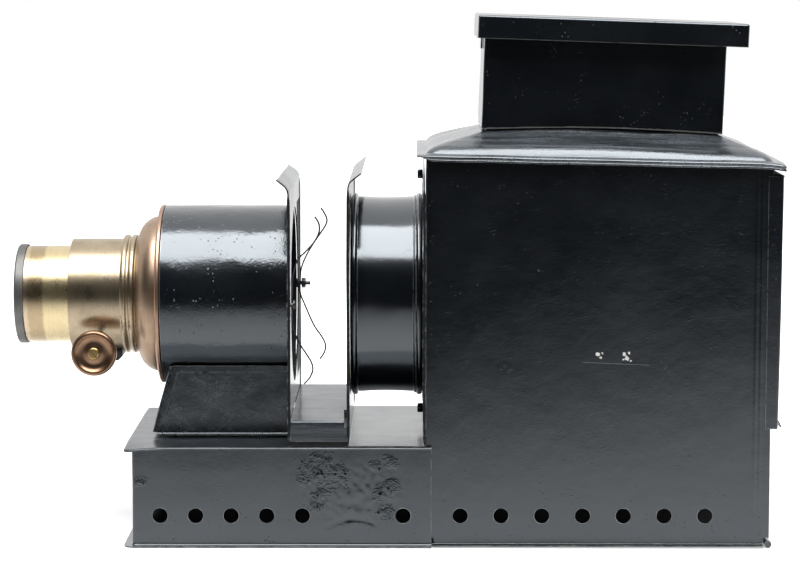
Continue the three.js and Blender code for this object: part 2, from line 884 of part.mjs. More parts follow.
function jacket() {
  const guide = lensTubeRadius + slip;
  const back = collarBack + 4;
  const beads = [];
  for (let i = 0; i < 2; i += 1) {
    const x = collarFront + 1.6 + i * 4.6;
    const low = collarRadius - 1;
    beads.push([x - 1.5, low], [x - 0.8, collarRadius], [x + 0.8, collarRadius], [x + 1.5, low]);
  }
  const tube = turnedAlong([
    [jacketFront, guide],
    [jacketFront, jacketRadius],
    [collarFront, jacketRadius],
    ...beads,
    [collarBack, collarRadius - 1.5],
    [collarBack, jacketRadius],
    [back, jacketRadius],
    [back, guide],
    [back - 2.5, guide],
    [back - 2.5, jacketBore],
    [jacketFront + 3, jacketBore],
    [jacketFront + 3, guide],
    [jacketFront, guide],
  ], FINE);
  const reach = pitchRadius + 2;
  const slotTop = axisHeight - jacketRadius / 2;
  const slot = box(pinionX - reach, pinionX + reach, -boxHalf, boxHalf, pinionZ - 9, slotTop);
  const half = rackWidth / 2 + slip;
  const rackway = box(jacketFront - 9, back + 9, -half, half, rackBottom - slip, axisHeight);
  const shaftHole = rodAcross(-99, 99, shaftRadius + slip, COARSE, pinionX, pinionZ);
  return cut(tube, slot, rackway, shaftHole);
}

const boxHalf = 9;
const boxBack = 13.6;
const boxFront = 11;
const boxDrop = 5.4;
const boxCorner = 2.6;
const rackBottom = axisHeight - lensTubeRadius - 0.3;

function pinionBox() {
  const top = axisHeight - jacketRadius + 6;
  const foot = pinionZ - pitchRadius - boxDrop;
  const wall = 1.4;
  const half = boxHalf - slip;
  const outside = prismAcross([
    [pinionX - boxFront, foot + boxCorner], [pinionX - boxFront + boxCorner, foot],
    [pinionX + boxBack - boxCorner, foot], [pinionX + boxBack, foot + boxCorner],
    [pinionX + boxBack, top], [pinionX - boxFront, top],
  ], -half, half);
  const room = pitchRadius + 1.6;
  const inside = box(pinionX - room, pinionX + room, -half + wall, half - wall, foot + wall, top + 9);
  const jacketBody = rodAlong(jacketFront, collarFront + 9, jacketRadius + slip, FINE);
  const slotFit = pitchRadius + 2 - slip;
  const blockTop = axisHeight - jacketBore + 0.2;
  const block = box(pinionX - slotFit, pinionX + slotFit, -half, half, foot + 1, blockTop);
  const bearing = rodAcross(-99, 99, shaftRadius + 0.2, COARSE, pinionX, pinionZ);
  return cut(join(cut(outside, jacketBody), block), inside, bearing);
}

function lensTube() {
  const [front, back] = [ringFront + 2.4, lensTubeBack];
  const inner = lensTubeRadius - lensTubeWall;
  const half = rackWidth / 2 + slip;
  const rackSlot = box(rackFront - slip, rackBack + slip, -half, half, axisHeight - 99, axisHeight);
  return cut(pipeAlong(front, back, lensTubeRadius, inner, FINE), rackSlot);
}

const rackFront = pinionX - rackTravel - 4;
const rackBack = pinionX + rackTravel + 4;
const rackTop = axisHeight - lensTubeRadius + lensTubeWall + 0.6;

// Half widths of a tooth at its root and at its tip.
const toothRoot = toothPitch * 0.26;
const toothEnd = toothPitch * toothTip * 0.36;

function rack() {
  const rootZ = axisHeight - rackPitchDrop + toothDepth / 2 + 0.1;
  const tipZ = axisHeight - rackPitchDrop - toothDepth / 2 + 0.05;
  const count = Math.floor((rackBack - rackFront - toothPitch) / toothPitch);
  const firstSpace = -Math.floor(count / 2);
  const edge = [];
  for (let i = 0; i < count; i += 1) {
    const x = pinionX + (firstSpace + i + 0.5) * toothPitch;
    edge.push([x - toothRoot, rootZ], [x - toothEnd, tipZ], [x + toothEnd, tipZ], [x + toothRoot, rootZ]);
  }
  const bar = [[rackFront, rackTop], [rackFront, rootZ], ...edge, [rackBack, rootZ], [rackBack, rackTop]];
  return prismAcross(bar, -rackWidth / 2, rackWidth / 2);
}

function pinion() {
  const points = [];
  const [root, tip] = [pitchRadius - toothDepth / 2 - 0.1, pitchRadius + toothDepth / 2 - 0.05];
  for (let i = 0; i < pinionTeeth; i += 1) {
    const middle = Math.PI / 2 + (i * 2 * Math.PI) / pinionTeeth;
    for (const [radius, half] of [[root, toothRoot], [tip, toothEnd], [tip, -toothEnd], [root, -toothRoot]]) {
      const angle = middle - half / radius;
      points.push([pinionX + radius * Math.cos(angle), pinionZ + radius * Math.sin(angle)]);
    }
  }
  const gearHalf = rackWidth / 2 - 0.2;
  const gear = prismAcross(points.reverse(), -gearHalf, gearHalf);
  const shaft = rodAcross(knobInside - 4, boxHalf + 1.5, shaftRadius, COARSE, pinionX, pinionZ);
  return join(gear, shaft);
}

const knobInside = -(jacketRadius + knobGap);

function focusKnob() {
  const [inside, outside] = [knobInside, knobInside - knobThickness];
  const bore = shaftRadius + 0.1;
  return turnedAcross([
    [inside, bore],
    [inside, knobRadius - 1.2],
    [inside - 1.2, knobRadius],
    [outside + 1, knobRadius],
    [outside, knobRadius - 1],
    [outside, knobRadius - 2.6],
    [outside + 1.2, knobRadius - 3.6],
    [outside + 1.8, 6],
    [outside + 1.2, bore],
    [inside, bore],
  ], MEDIUM, pinionX, pinionZ);
}

function knobScrew() {
  const seat = knobInside - knobThickness + 1;
  const head = rodAcross(seat - 1.6, seat - 0.1, 3.5, COARSE, pinionX, pinionZ);
  const slot = box(-9, 9, seat - 9, seat - 0.9, -0.4, 0.4).rotateY(THREE.MathUtils.degToRad(50));
  return cut(head, slot.translate(pinionX, 0, pinionZ));
}

function frontRing() {
  const [bore, back] = [lensTubeRadius + slip, ringFront + ringLength];
  return turnedAlong([
    [ringFront, frontLensRadius - 3],
    [ringFront, ringRadius - 0.8],
    [ringFront + 0.8, ringRadius],
    [back - 0.4, ringRadius],
    [back, ringRadius - 0.2],
    [back, bore],
    [ringFront + 2.1, bore],
    [ringFront + 2.1, frontLensRadius - 3],
    [ringFront, frontLensRadius - 3],
  ], FINE);
}

// A biconvex lens between two rim planes.
function biconvex(front, back, radius, crown, sides) {
  const steps = 4;
  const face = [];
  for (let i = 0; i <= steps; i += 1) {
    const r = radius * (i / steps);
    face.push([crownAt(r, radius, crown), r]);
  }
  const ahead = face.map(([sag, r]) => [front - sag, r]);
  const behind = face.map(([sag, r]) => [back + sag, r]).reverse();
  return turnedAlong([...ahead, ...behind], sides);
}

function frontLens() {
  const front = ringFront + 4.6;
  return biconvex(front, front + 4.5, frontLensRadius, 2.2, MEDIUM);
}

const rearCellLength = 10;

function rearCell() {
  const seat = lensTubeRadius - lensTubeWall - slip;
  const rearClear = rearLensRadius * rearOpening;
  const [front, back] = [lensTubeBack - rearCellLength, lensTubeBack + 1];
  return turnedAlong([
    [front, rearClear],
    [front, seat],
    [back, seat],
    [back, rearLensRadius + slip],
    [front + 1.2, rearLensRadius + slip],
    [front + 1.2, rearClear],
    [front, rearClear],
  ], FINE);
}

function rearLens() {
  const front = lensTubeBack - rearCellLength + 1.5;
  return biconvex(front, front + 3, rearLensRadius, 1.8, MEDIUM);
}

function lensParts() {
  add('front_tube', frontTube(), japan);
  add('pedestal', pedestal(), japan);
  add('lens_flange', lensFlange(), copper);
  add('bell', bell(), copper);
  add('jacket', jacket(), brass);
  add('pinion_box', pinionBox(), darkRing);
  add('lens_tube', lensTube(), yellowBrass);
  add('front_ring', frontRing(), darkRing);
  add('front_lens', frontLens(), glass);
  add('rear_cell', rearCell(), brass);
  add('rear_lens', rearLens(), glass);
  add('rack', rack(), brass);
  add('pinion', pinion(), steel);
  add('focus_knob', focusKnob(), copper);
  add('knob_screw', knobScrew(), brass);
}

// ---------------------------------------------------------------- door and hinges

const doorX = houseBack - 3;

function door() {
  const half = lapHalf;
  const footX = doorX + doorDepth;
  const headX = doorX + doorHeadDepth;
  const panSide = [[doorX, doorFoot], [footX, doorFoot], [headX, doorTop], [doorX, doorTop]];
  const pan = prismAcross(panSide, -half, half);
  const room = prismAcross([
    [doorX - 9, doorFoot - 9], [footX - sheet, doorFoot - 9], [footX - sheet, doorFoot],
    [headX - sheet, doorTop - sheet], [doorX - 9, doorTop - sheet],
  ], -half + sheet, half - sheet);
  const headRoom = box(doorX - 9, houseBack + slip, -half + sheet, half - sheet, doorFoot, doorTop + 9);
  const lip = prismAcross(bentSheet([
    [footX - 0.2, doorFoot + 6], [footX + 1.4, doorFoot + 3.4], [footX + 2.2, doorFoot + 0.5],
  ], sheet), -half + 4, half - 4);
  return join(cut(pan, room, headRoom), lip);
}

// One knuckle pair: the wall's leaf has the lower barrel and the door's leaf the upper one.
function hingeHalf(foot, wallSide) {
  const share = hingeLength / 2 - slip / 2;
  const from = wallSide ? foot : foot + hingeLength - share;
  const barrel = rodUp(from, from + share, hingeBarrel, COARSE, hingeX, hingeY);
  const leafY = bodyHalf + slip + (wallSide ? 0 : sheet + slip);
  const leaf = wallSide
    ? box(hingeX - 16, hingeX, leafY, leafY + sheet, from, from + share)
    : box(hingeX, doorX + doorDepth - 1, leafY, leafY + sheet, from, from + share);
  const web = box(hingeX - sheet / 2, hingeX + sheet / 2, leafY, hingeY, from, from + share);
  const pinHole = rodUp(from - 9, from + share + 9, hingePin + 0.15, COARSE, hingeX, hingeY);
  return cut(join(barrel, leaf, web), pinHole);
}

// One wire that both hinges turn on, with a head that rests on the upper one.
function hingePinRod(lowest, highest) {
  const head = rodUp(highest + slip, highest + 1.5, 1.5, COARSE, hingeX, hingeY);
  return join(rodUp(lowest - 0.5, highest + 1.4, hingePin, COARSE, hingeX, hingeY), head);
}

function doorParts() {
  add('door', door(), japan);
  const feet = { lower: doorFoot + hingeInset, upper: doorTop - hingeInset - hingeLength };
  for (const [name, foot] of Object.entries(feet)) {
    add(`hinge_wall_${name}`, hingeHalf(foot, true), japan);
    add(`hinge_door_${name}`, hingeHalf(foot, false), japan);
  }
  add('hinge_pin', hingePinRod(feet.lower, feet.upper + hingeLength), steel);
}

// ---------------------------------------------------------------- lamp

function runner(side) {
  const outer = bodyHalf - sheet - slip;
  const rail = prismAlong(bentSheet([
    [outer, runnerHeight + 10], [outer, runnerHeight], [outer - runnerWidth, runnerHeight],
  ].reverse(), sheet), houseX + 12, houseBack - 5);
  const solid = geometryOf(solidOf(rail));
  return side > 0 ? solid : mirrored(solid);
}

function lampTray() {
  const foot = runnerHeight + sheet + slip;
  const [front, back] = [trayFront, trayFront + trayLength];
  return cut(
    box(front, back, -trayHalf, trayHalf, foot, foot + trayWall),
    box(front + sheet, back - sheet, -trayHalf + sheet, trayHalf - sheet, foot + sheet, foot + 99),
  );
}

function tankOutline(inset) {
  const half = tankWidth / 2 - inset;
  const [front, back] = [tankFront + inset, tankFront + tankLength - inset];
  const corner = tankCorner - inset;
  return [
    ...arc(back - corner, half - corner, corner, 0, 90, 3),
    ...arc(front + corner, half - corner, corner, 90, 180, 3),
    ...arc(front + corner, -half + corner, corner, 180, 270, 3),
    ...arc(back - corner, -half + corner, corner, 270, 360, 3),
  ];
}

function oilTank() {
  const hollow = prismUp(tankOutline(sheet), tankFoot + sheet, tankTop - sheet);
  const filler = rodUp(tankTop - 9, tankTop + 9, fillerRadius, COARSE, fillerX, fillerY);
  const [along, across] = [wickWidth / 2 + 1, wickThickness / 2 + 1];
  const wickHole = box(burnerX - along, burnerX + along, -across, across, tankTop - 9, tankTop + 9);
  return cut(prismUp(tankOutline(0), tankFoot, tankTop), hollow, filler, wickHole);
}

function fillerCap() {
  const neck = fillerRadius - slip;
  return turnedUp([
    [tankTop - 3, 0], [tankTop - 3, neck], [tankTop + slip, neck], [tankTop + slip, fillerRadius + 2],
    [tankTop + 3, fillerRadius + 2], [tankTop + 4, fillerRadius], [tankTop + 4, 0],
  ], COARSE, fillerX, fillerY);
}

function wickSlot(room, zMin, zMax) {
  const [along, across] = [wickWidth / 2 + room, wickThickness / 2 + room];
  return box(burnerX - along, burnerX + along, -across, across, zMin, zMax);
}

function burner() {
  const [foot, top] = [burnerFoot, galleryZ + burnerCone];
  const gallery = 5;
  const shell = turnedUp([
    [foot, 0], [foot, burnerRadius], [galleryZ - 1.2, burnerRadius], [galleryZ - 1.2, burnerRadius + gallery],
    [galleryZ + 3, burnerRadius + gallery], [galleryZ + 3, burnerRadius + gallery - sheet],
    [galleryZ, burnerRadius + gallery - sheet], [galleryZ, burnerRadius - 1],
    [galleryZ + burnerCone * 0.6, burnerRadius - 2.5], [top, 8], [top, 0],
  ], MEDIUM, burnerX);
  const room = turnedUp([
    [foot + sheet, 0], [foot + sheet, burnerRadius - sheet], [galleryZ - 1.2, burnerRadius - sheet],
    [galleryZ + burnerCone * 0.6, burnerRadius - 3.6], [top - 1, 7], [top - 1, 0],
  ], MEDIUM, burnerX);
  const wickTube = wickSlot(wickRoom + sheet, foot + sheet / 2, top - 4);
  const flameSlot = wickSlot(wickRoom + sheet + 1.2, top - 3, top + 9);
  const wheelRoom = wickWidth / 2 - 2;
  const wheelWindow = box(burnerX - wheelRoom, burnerX + wheelRoom, -wickThickness - 3, 0,
    spindleZ - wickWheel - 1, spindleZ + wickWheel + 1);
  const spindleHole = rodAlong(burnerX, burnerX + 99, shaftRadius + 0.2, COARSE, spindleY, spindleZ);
  return cut(join(cut(shell, room), wickTube), wickSlot(wickRoom, foot - 9, top + 9), flameSlot,
    wheelWindow, spindleHole);
}

function wick() {
  const half = wickThickness / 2;
  return box(burnerX - wickWidth / 2, burnerX + wickWidth / 2, -half, half,
    tankTop - tankHeight + 14, galleryZ + burnerCone + 3);
}

function wickSpindle() {
  const points = [];
  const teeth = 10;
  for (let i = 0; i < teeth; i += 1) {
    const middle = (i * 2 * Math.PI) / teeth;
    for (const [share, radius] of [[-0.2, wickWheel - 0.7], [0, wickWheel], [0.2, wickWheel - 0.7]]) {
      const angle = middle + (share * 2 * Math.PI) / teeth;
      points.push([spindleY + radius * Math.cos(angle), spindleZ + radius * Math.sin(angle)]);
    }
  }
  const wheelHalf = 6;
  const knobX = trayFront + trayLength - 8;
  return join(
    prismAlong(points, burnerX - wheelHalf, burnerX + wheelHalf),
    rodAlong(burnerX - wheelHalf - 1, knobX + 1, shaftRadius - 0.3, COARSE, spindleY, spindleZ),
    rodAlong(knobX, knobX + 5, 9, COARSE, spindleY, spindleZ),
  );
}

function lampGlass() {
  const foot = galleryZ + slip;
  const seat = burnerRadius + 3.6;
  const outer = [
    [foot, seat], [foot + 12, seat], [foot + 36, seat + 6.5], [foot + 58, seat + 2],
    [glassTop - 22, seat - 4], [glassTop, seat - 4.5],
  ];
  const inner = outer.map(([z, r]) => [z, r - glassWall]).reverse();
  return turnedUp([...outer, ...inner, outer[0]], MEDIUM, burnerX);
}

function reflector() {
  const steps = 6;
  const face = [];
  for (let i = 0; i <= steps; i += 1) {
    const r = reflectorRadius * (i / steps);
    face.push([reflectorX - reflectorDish + crownAt(r, reflectorRadius, reflectorDish), r]);
  }
  const back = face.map(([x, r]) => [x + sheet, r]).reverse();
  const dish = turnedAlong([...face, ...back], FINE);
  const footZ = tankTop + slip;
  const rimZ = axisHeight - reflectorRadius;
  const rimFaceX = reflectorX - reflectorDish;
  const stem = prismAcross(bentSheet([
    [rimFaceX + 10, footZ], [rimFaceX, footZ], [rimFaceX, rimZ + 1],
  ].reverse(), sheet), 4, 14);
  return join(dish, stem);
}

function lampParts() {
  add('runner_near', runner(-1), japan);
  add('runner_far', runner(1), japan);
  add('lamp_tray', lampTray(), japan);
  add('oil_tank', oilTank(), japan);
  add('filler_cap', fillerCap(), brass);
  add('burner', burner(), brass);
  add('wick', wick(), cotton);
  add('wick_spindle', wickSpindle(), brass);
  add('lamp_glass', lampGlass(), glass);
  add('reflector', reflector(), silvered);
}

baseParts();
houseParts();
chimneyParts();
condenserParts();
stageParts();
lensParts();
doorParts();
lampParts();

export default lantern;
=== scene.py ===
import math

import bmesh
import bpy
from mathutils import Matrix, Vector, geometry, noise


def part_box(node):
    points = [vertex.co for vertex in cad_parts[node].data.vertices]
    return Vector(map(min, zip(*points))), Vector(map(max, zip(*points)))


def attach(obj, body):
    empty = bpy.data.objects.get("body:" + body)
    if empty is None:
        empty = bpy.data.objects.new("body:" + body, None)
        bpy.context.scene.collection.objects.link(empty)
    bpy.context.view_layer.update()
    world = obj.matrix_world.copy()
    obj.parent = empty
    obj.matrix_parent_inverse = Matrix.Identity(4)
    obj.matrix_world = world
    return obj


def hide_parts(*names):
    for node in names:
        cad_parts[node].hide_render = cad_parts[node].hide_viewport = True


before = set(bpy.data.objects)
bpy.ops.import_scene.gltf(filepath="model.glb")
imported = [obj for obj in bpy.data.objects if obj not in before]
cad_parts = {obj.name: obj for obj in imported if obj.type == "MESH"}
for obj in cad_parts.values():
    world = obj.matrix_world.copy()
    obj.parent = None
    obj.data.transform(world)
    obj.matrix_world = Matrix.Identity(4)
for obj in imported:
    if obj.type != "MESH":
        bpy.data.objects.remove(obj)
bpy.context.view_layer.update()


# ---------------------------------------------------------------- base shell
# One long strip of tinplate folded round the front of the base and black japanned. Its foot is turned out
# into a flange, a row of vents is punched through both long sides, and its back ends lap the lamphouse.
# The tin has been knocked and blistered near the middle of the side.

MM = 0.001
TIN = 0.8                                        # thickness of the tinplate, in mm
front_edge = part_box("base_top")[0].x


def at(x, y, z):
    """The point x behind the base plate's front edge, y towards the far side and z up, all in mm."""
    return Vector((front_edge + x * MM, y * MM, z * MM))


class FoldedLine:
    """A line through corners that bend with a radius, as a sheet does in a folding machine."""

    def __init__(self, corners, radius):
        points = [Vector(corner) for corner in corners]
        self.parts = []
        start = points[0]
        for before, corner, after in zip(points, points[1:], points[2:]):
            into, away = (corner - before).normalized(), (after - corner).normalized()
            turn = math.atan2(into.x * away.y - into.y * away.x, into.dot(away))
            if abs(turn) < 1e-4:
                continue
            cut = radius * math.tan(abs(turn) / 2)
            self.parts.append(("flat", start, into, (corner - into * cut - start).length))
            side = Vector((-into.y, into.x)) * (1 if turn > 0 else -1)
            centre = corner - into * cut + side * radius
            self.parts.append(("bend", centre, -side, abs(turn) * radius, turn, radius))
            start = corner + away * cut
        self.parts.append(("flat", start, (points[-1] - start).normalized(), (points[-1] - start).length))
        self.length = sum(part[3] for part in self.parts)

    def at(self, s):
        """The point and the left-hand normal at length s along the line."""
        for part in self.parts:
            if s <= part[3] or part is self.parts[-1]:
                break
            s -= part[3]
        if part[0] == "flat":
            along = part[2]
            return part[1] + along * s, Vector((-along.y, along.x))
        angle = part[4] * s / part[3]
        spoke = Vector((part[2].x * math.cos(angle) - part[2].y * math.sin(angle),
                        part[2].x * math.sin(angle) + part[2].y * math.cos(angle)))
        return part[1] + spoke * part[5], spoke * (-1 if part[4] > 0 else 1)

    def stations(self, step):
        """Lengths along the line: a step apart on the flats, and five to each bend."""
        found, reached = [0.0], 0.0
        for part in self.parts:
            pieces = 5 if part[0] == "bend" else max(1, round(part[3] / step))
            found += [reached + part[3] * (i + 1) / pieces for i in range(pieces)]
            reached += part[3]
        return found


def held(share):
    """A share kept from 0 to 1."""
    return max(0.0, min(1.0, share))


def every(first, last, step):
    """Lengths from first to last, about a step apart."""
    pieces = max(1, round((last - first) / step))
    return [first + (last - first) * i / pieces for i in range(pieces + 1)]


def circle(u, v, radius, sides=40):
    """A round hole in a flat blank."""
    return [(u + radius * math.cos(2 * math.pi * i / sides), v + radius * math.sin(2 * math.pi * i / sides))
            for i in range(sides)]


def inside(point, loop):
    """Whether a point of a blank lies inside a loop."""
    u, v = point
    found = False
    for (a, b), (c, d) in zip(loop, loop[1:] + loop[:1]):
        if (b > v) != (d > v) and u < (c - a) * (v - b) / (d - b) + a:
            found = not found
    return found


def loop_gap(point, loop):
    """How far a point of a blank is from a loop."""
    best = 1e9
    p = Vector(point)
    for a, b in zip(loop, loop[1:] + loop[:1]):
        start, run = Vector(a), Vector(b) - Vector(a)
        share = held((p - start).dot(run) / max(run.length_squared, 1e-12))
        best = min(best, (p - start - run * share).length)
    return best


def mesh_piece(name, points, faces, sharp=32):
    """A mesh object from points in metres, smooth but for edges that turn more than `sharp` degrees."""
    mesh = bpy.data.meshes.new(name)
    mesh.from_pydata(points, [], faces)
    work = bmesh.new()
    work.from_mesh(mesh)
    bmesh.ops.remove_doubles(work, verts=work.verts, dist=1e-7)
    bmesh.ops.recalc_face_normals(work, faces=work.faces)
    work.to_mesh(mesh)
    work.free()
    return smoothed(bpy.data.objects.new(name, mesh), sharp)


def smoothed(piece, sharp=32):
    """Puts a piece in the scene and shades it smooth between its real edges."""
    if piece.name not in bpy.context.scene.collection.objects:
        bpy.context.scene.collection.objects.link(piece)
    for face in piece.data.polygons:
        face.use_smooth = True
    piece.data.set_sharp_from_angle(angle=math.radians(sharp))
    return piece


def blank(name, outline, holes, us, vs, bend, thickness=TIN):
    """A piece cut from flat tin with its holes, then bent: bend(u, v, depth) is where a point ends up."""

    def stepped(loop):
        """The loop with a point wherever it crosses a line of the grid."""
        found = []
        for (a, b), (c, d) in zip(loop, loop[1:] + loop[:1]):
            cuts = {0.0}
            if abs(c - a) > 1e-6:
                cuts |= {(u - a) / (c - a) for u in us if 1e-3 < (u - a) / (c - a) < 0.999}
            if abs(d - b) > 1e-6:
                cuts |= {(v - b) / (d - b) for v in vs if 1e-3 < (v - b) / (d - b) < 0.999}
            kept = []
            for share in sorted(cuts):
                if not kept or math.hypot(c - a, d - b) * (share - kept[-1]) > 0.15:
                    kept.append(share)
            found += [(a + (c - a) * share, b + (d - b) * share) for share in kept]
        return found

    loops = [stepped(outline)] + [list(hole) for hole in holes]
    flat, edges = [], []
    for loop in loops:
        first = len(flat)
        flat += [Vector(p) for p in loop]
        edges += [(first + i, first + (i + 1) % len(loop)) for i in range(len(loop))]
    for u in us:
        for v in vs:
            if inside((u, v), outline) and loop_gap((u, v), outline) > 0.35:
                if all(not inside((u, v), hole) and loop_gap((u, v), hole) > 0.5 for hole in holes):
                    flat.append(Vector((u, v)))
    spots, _, cells, *_ = geometry.delaunay_2d_cdt(flat, edges, [], 0, 1e-5)
    kept = []
    for cell in cells:
        middle = sum((spots[i] for i in cell), Vector((0, 0))) / len(cell)
        if inside(middle, loops[0]) and not any(inside(middle, hole) for hole in holes):
            kept.append(tuple(cell))
    rims = {}
    for cell in kept:
        for a, b in zip(cell, cell[1:] + cell[:1]):
            rims[frozenset((a, b))] = None if frozenset((a, b)) in rims else (a, b)
    count = len(spots)
    points = [at(*bend(s.x, s.y, 0.0)) for s in spots] + [at(*bend(s.x, s.y, thickness)) for s in spots]
    faces = kept + [tuple(i + count for i in reversed(cell)) for cell in kept]
    faces += [(b, a, a + count, b + count) for a, b in filter(None, rims.values())]
    used = sorted({i for face in faces for i in face})
    place = {old: new for new, old in enumerate(used)}
    faces = [tuple(place[i] for i in face) for face in faces]
    return mesh_piece(name, [points[i] for i in used], faces)


def ripple(x, y, z, height, span):
    """How far hand-worked tin stands off true at a point: about `height` mm, in waves `span` mm long."""
    return height * noise.noise(Vector((x / span, y / span, z / span)))


def fit(piece, body, slot, *nodes):
    """The piece moves with a body and stands for CAD nodes; the slot argument is not used."""
    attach(piece, body)
    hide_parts(*nodes)
    return piece


def node_tree(name):
    """A new material with its tree, its output and the shader that paints it."""
    material = bpy.data.materials.new(name)
    material.use_nodes = True
    tree = material.node_tree
    return material, tree, tree.nodes["Principled BSDF"]


def put(tree, kind, settings=(), **sockets):
    """A node, with its settings made and its sockets filled with numbers or joined to others."""
    node = tree.nodes.new("ShaderNode" + kind)
    for key, value in dict(settings).items():
        setattr(node, key, value)
    for key, value in sockets.items():
        socket = node.inputs[int(key[1:])] if key[1:].isdigit() else node.inputs[key.replace("_", " ")]
        if isinstance(value, bpy.types.NodeSocket):
            tree.links.new(value, socket)
        else:
            socket.default_value = value
    return node


def set_inputs(tree, shader, values):
    """Fills a shader's sockets with numbers or joins them."""
    for key, value in values.items():
        if isinstance(value, bpy.types.NodeSocket):
            tree.links.new(value, shader.inputs[key])
        else:
            shader.inputs[key].default_value = value


def spread(tree, value, low, high, to_low=0.0, to_high=1.0):
    """The value taken from one span to another, and held at the ends."""
    return put(tree, "MapRange", _0=value, _1=low, _2=high, _3=to_low, _4=to_high).outputs[0]


def combined(tree, a, b, how="MULTIPLY"):
    """Two values put together by one sum."""
    return put(tree, "Math", {"operation": how}, _0=a, _1=b).outputs[0]


def tint(tree, share, a, b):
    """Colour a shading into colour b."""
    node = put(tree, "Mix", {"data_type": "RGBA"}, _0=share)
    for socket, value in ((node.inputs[6], a), (node.inputs[7], b)):
        if isinstance(value, bpy.types.NodeSocket):
            tree.links.new(value, socket)
        else:
            socket.default_value = value
    return node.outputs[2]


def cloud(tree, place, size, detail=2.0, rough=0.5):
    """Noise whose lumps are about `size` mm across."""
    fineness = 1 / (size * MM)
    return put(tree, "TexNoise", Vector=place, Scale=fineness, Detail=detail, Roughness=rough).outputs[0]


def edge_wear(tree, reach):
    """Where the surface turns a corner within `reach` mm, from 0 on the flat to 1 on the corner."""
    eased = put(tree, "Bevel", {"samples": 6}, Radius=reach * MM).outputs[0]
    plain = put(tree, "NewGeometry").outputs["Normal"]
    level = put(tree, "VectorMath", {"operation": "DOT_PRODUCT"}, _0=eased, _1=plain).outputs["Value"]
    return spread(tree, level, 0.995, 0.9)


def bumped(tree, height, depth, under=None):
    """A bump `depth` mm high over another."""
    node = put(tree, "Bump", Strength=1.0, Distance=depth * MM, Height=height)
    if under is not None:
        tree.links.new(under, node.inputs["Normal"])
    return node.outputs[0]


def distance_from(tree, place, x, y, z):
    """How far a spot is from a place on the lantern, in metres."""
    return put(tree, "VectorMath", {"operation": "DISTANCE"}, _0=place, _1=at(x, y, z)).outputs["Value"]


def chip_at(tree, place, x, y, z, size):
    """One ragged chip, down to the bare tin."""
    off = distance_from(tree, place, x, y, z)
    ragged = combined(tree, cloud(tree, place, 1.6, 3.0), 1.6 * size * MM)
    near = combined(tree, off, combined(tree, ragged, 0.8 * size * MM, "SUBTRACT"), "SUBTRACT")
    return spread(tree, near, size * MM, size * 0.8 * MM)


def rubbed_line(tree, place, start, stop, width):
    """A ragged bare line between two (x, z) places, fading over its last 2 mm."""
    (x0, z0), (x1, z1) = start, stop
    spot = put(tree, "SeparateXYZ", Vector=place)
    along, high = spot.outputs["X"], spot.outputs["Z"]
    slope = (z1 - z0) / (x1 - x0)
    first, last = at(x0, 0, z0), at(x1, 0, z1)
    off = combined(tree, high, combined(tree, along, slope), "SUBTRACT")
    off = combined(tree, off, first.z - slope * first.x, "SUBTRACT")
    off = combined(tree, off, 0.0, "ABSOLUTE")
    ragged = combined(tree, cloud(tree, place, 3, 4.0, 0.7), width * MM)
    line = spread(tree, combined(tree, off, ragged, "SUBTRACT"), 0.0, -0.2 * width * MM)
    fade = 2 * MM
    begun, not_over = spread(tree, along, first.x, first.x + fade), spread(tree, along, last.x, last.x - fade)
    return combined(tree, line, combined(tree, begun, not_over))


def flaking(tree, place, spots):
    """Lifted japan round (x, y, z, reach) spots: its crust, its patches, and the flakes that are gone."""
    crust = cloud(tree, place, 3.4, 5.0, 0.72)
    torn = combined(tree, cloud(tree, place, 6, 4.0, 0.7), 0.5, "SUBTRACT")
    patch = 0.0
    for x, y, z, reach in spots:
        off = distance_from(tree, place, x, y, z)
        off = combined(tree, off, combined(tree, torn, 3.2 * reach * MM), "ADD")
        patch = combined(tree, spread(tree, off, reach * MM, 0.1 * reach * MM), patch, "MAXIMUM")
    level = spread(tree, patch, 0.0, 1.0, 0.70, 0.54)
    gone = spread(tree, combined(tree, crust, level, "SUBTRACT"), 0.0, 0.025)
    return crust, patch, combined(tree, gone, spread(tree, patch, 0, 0.1))


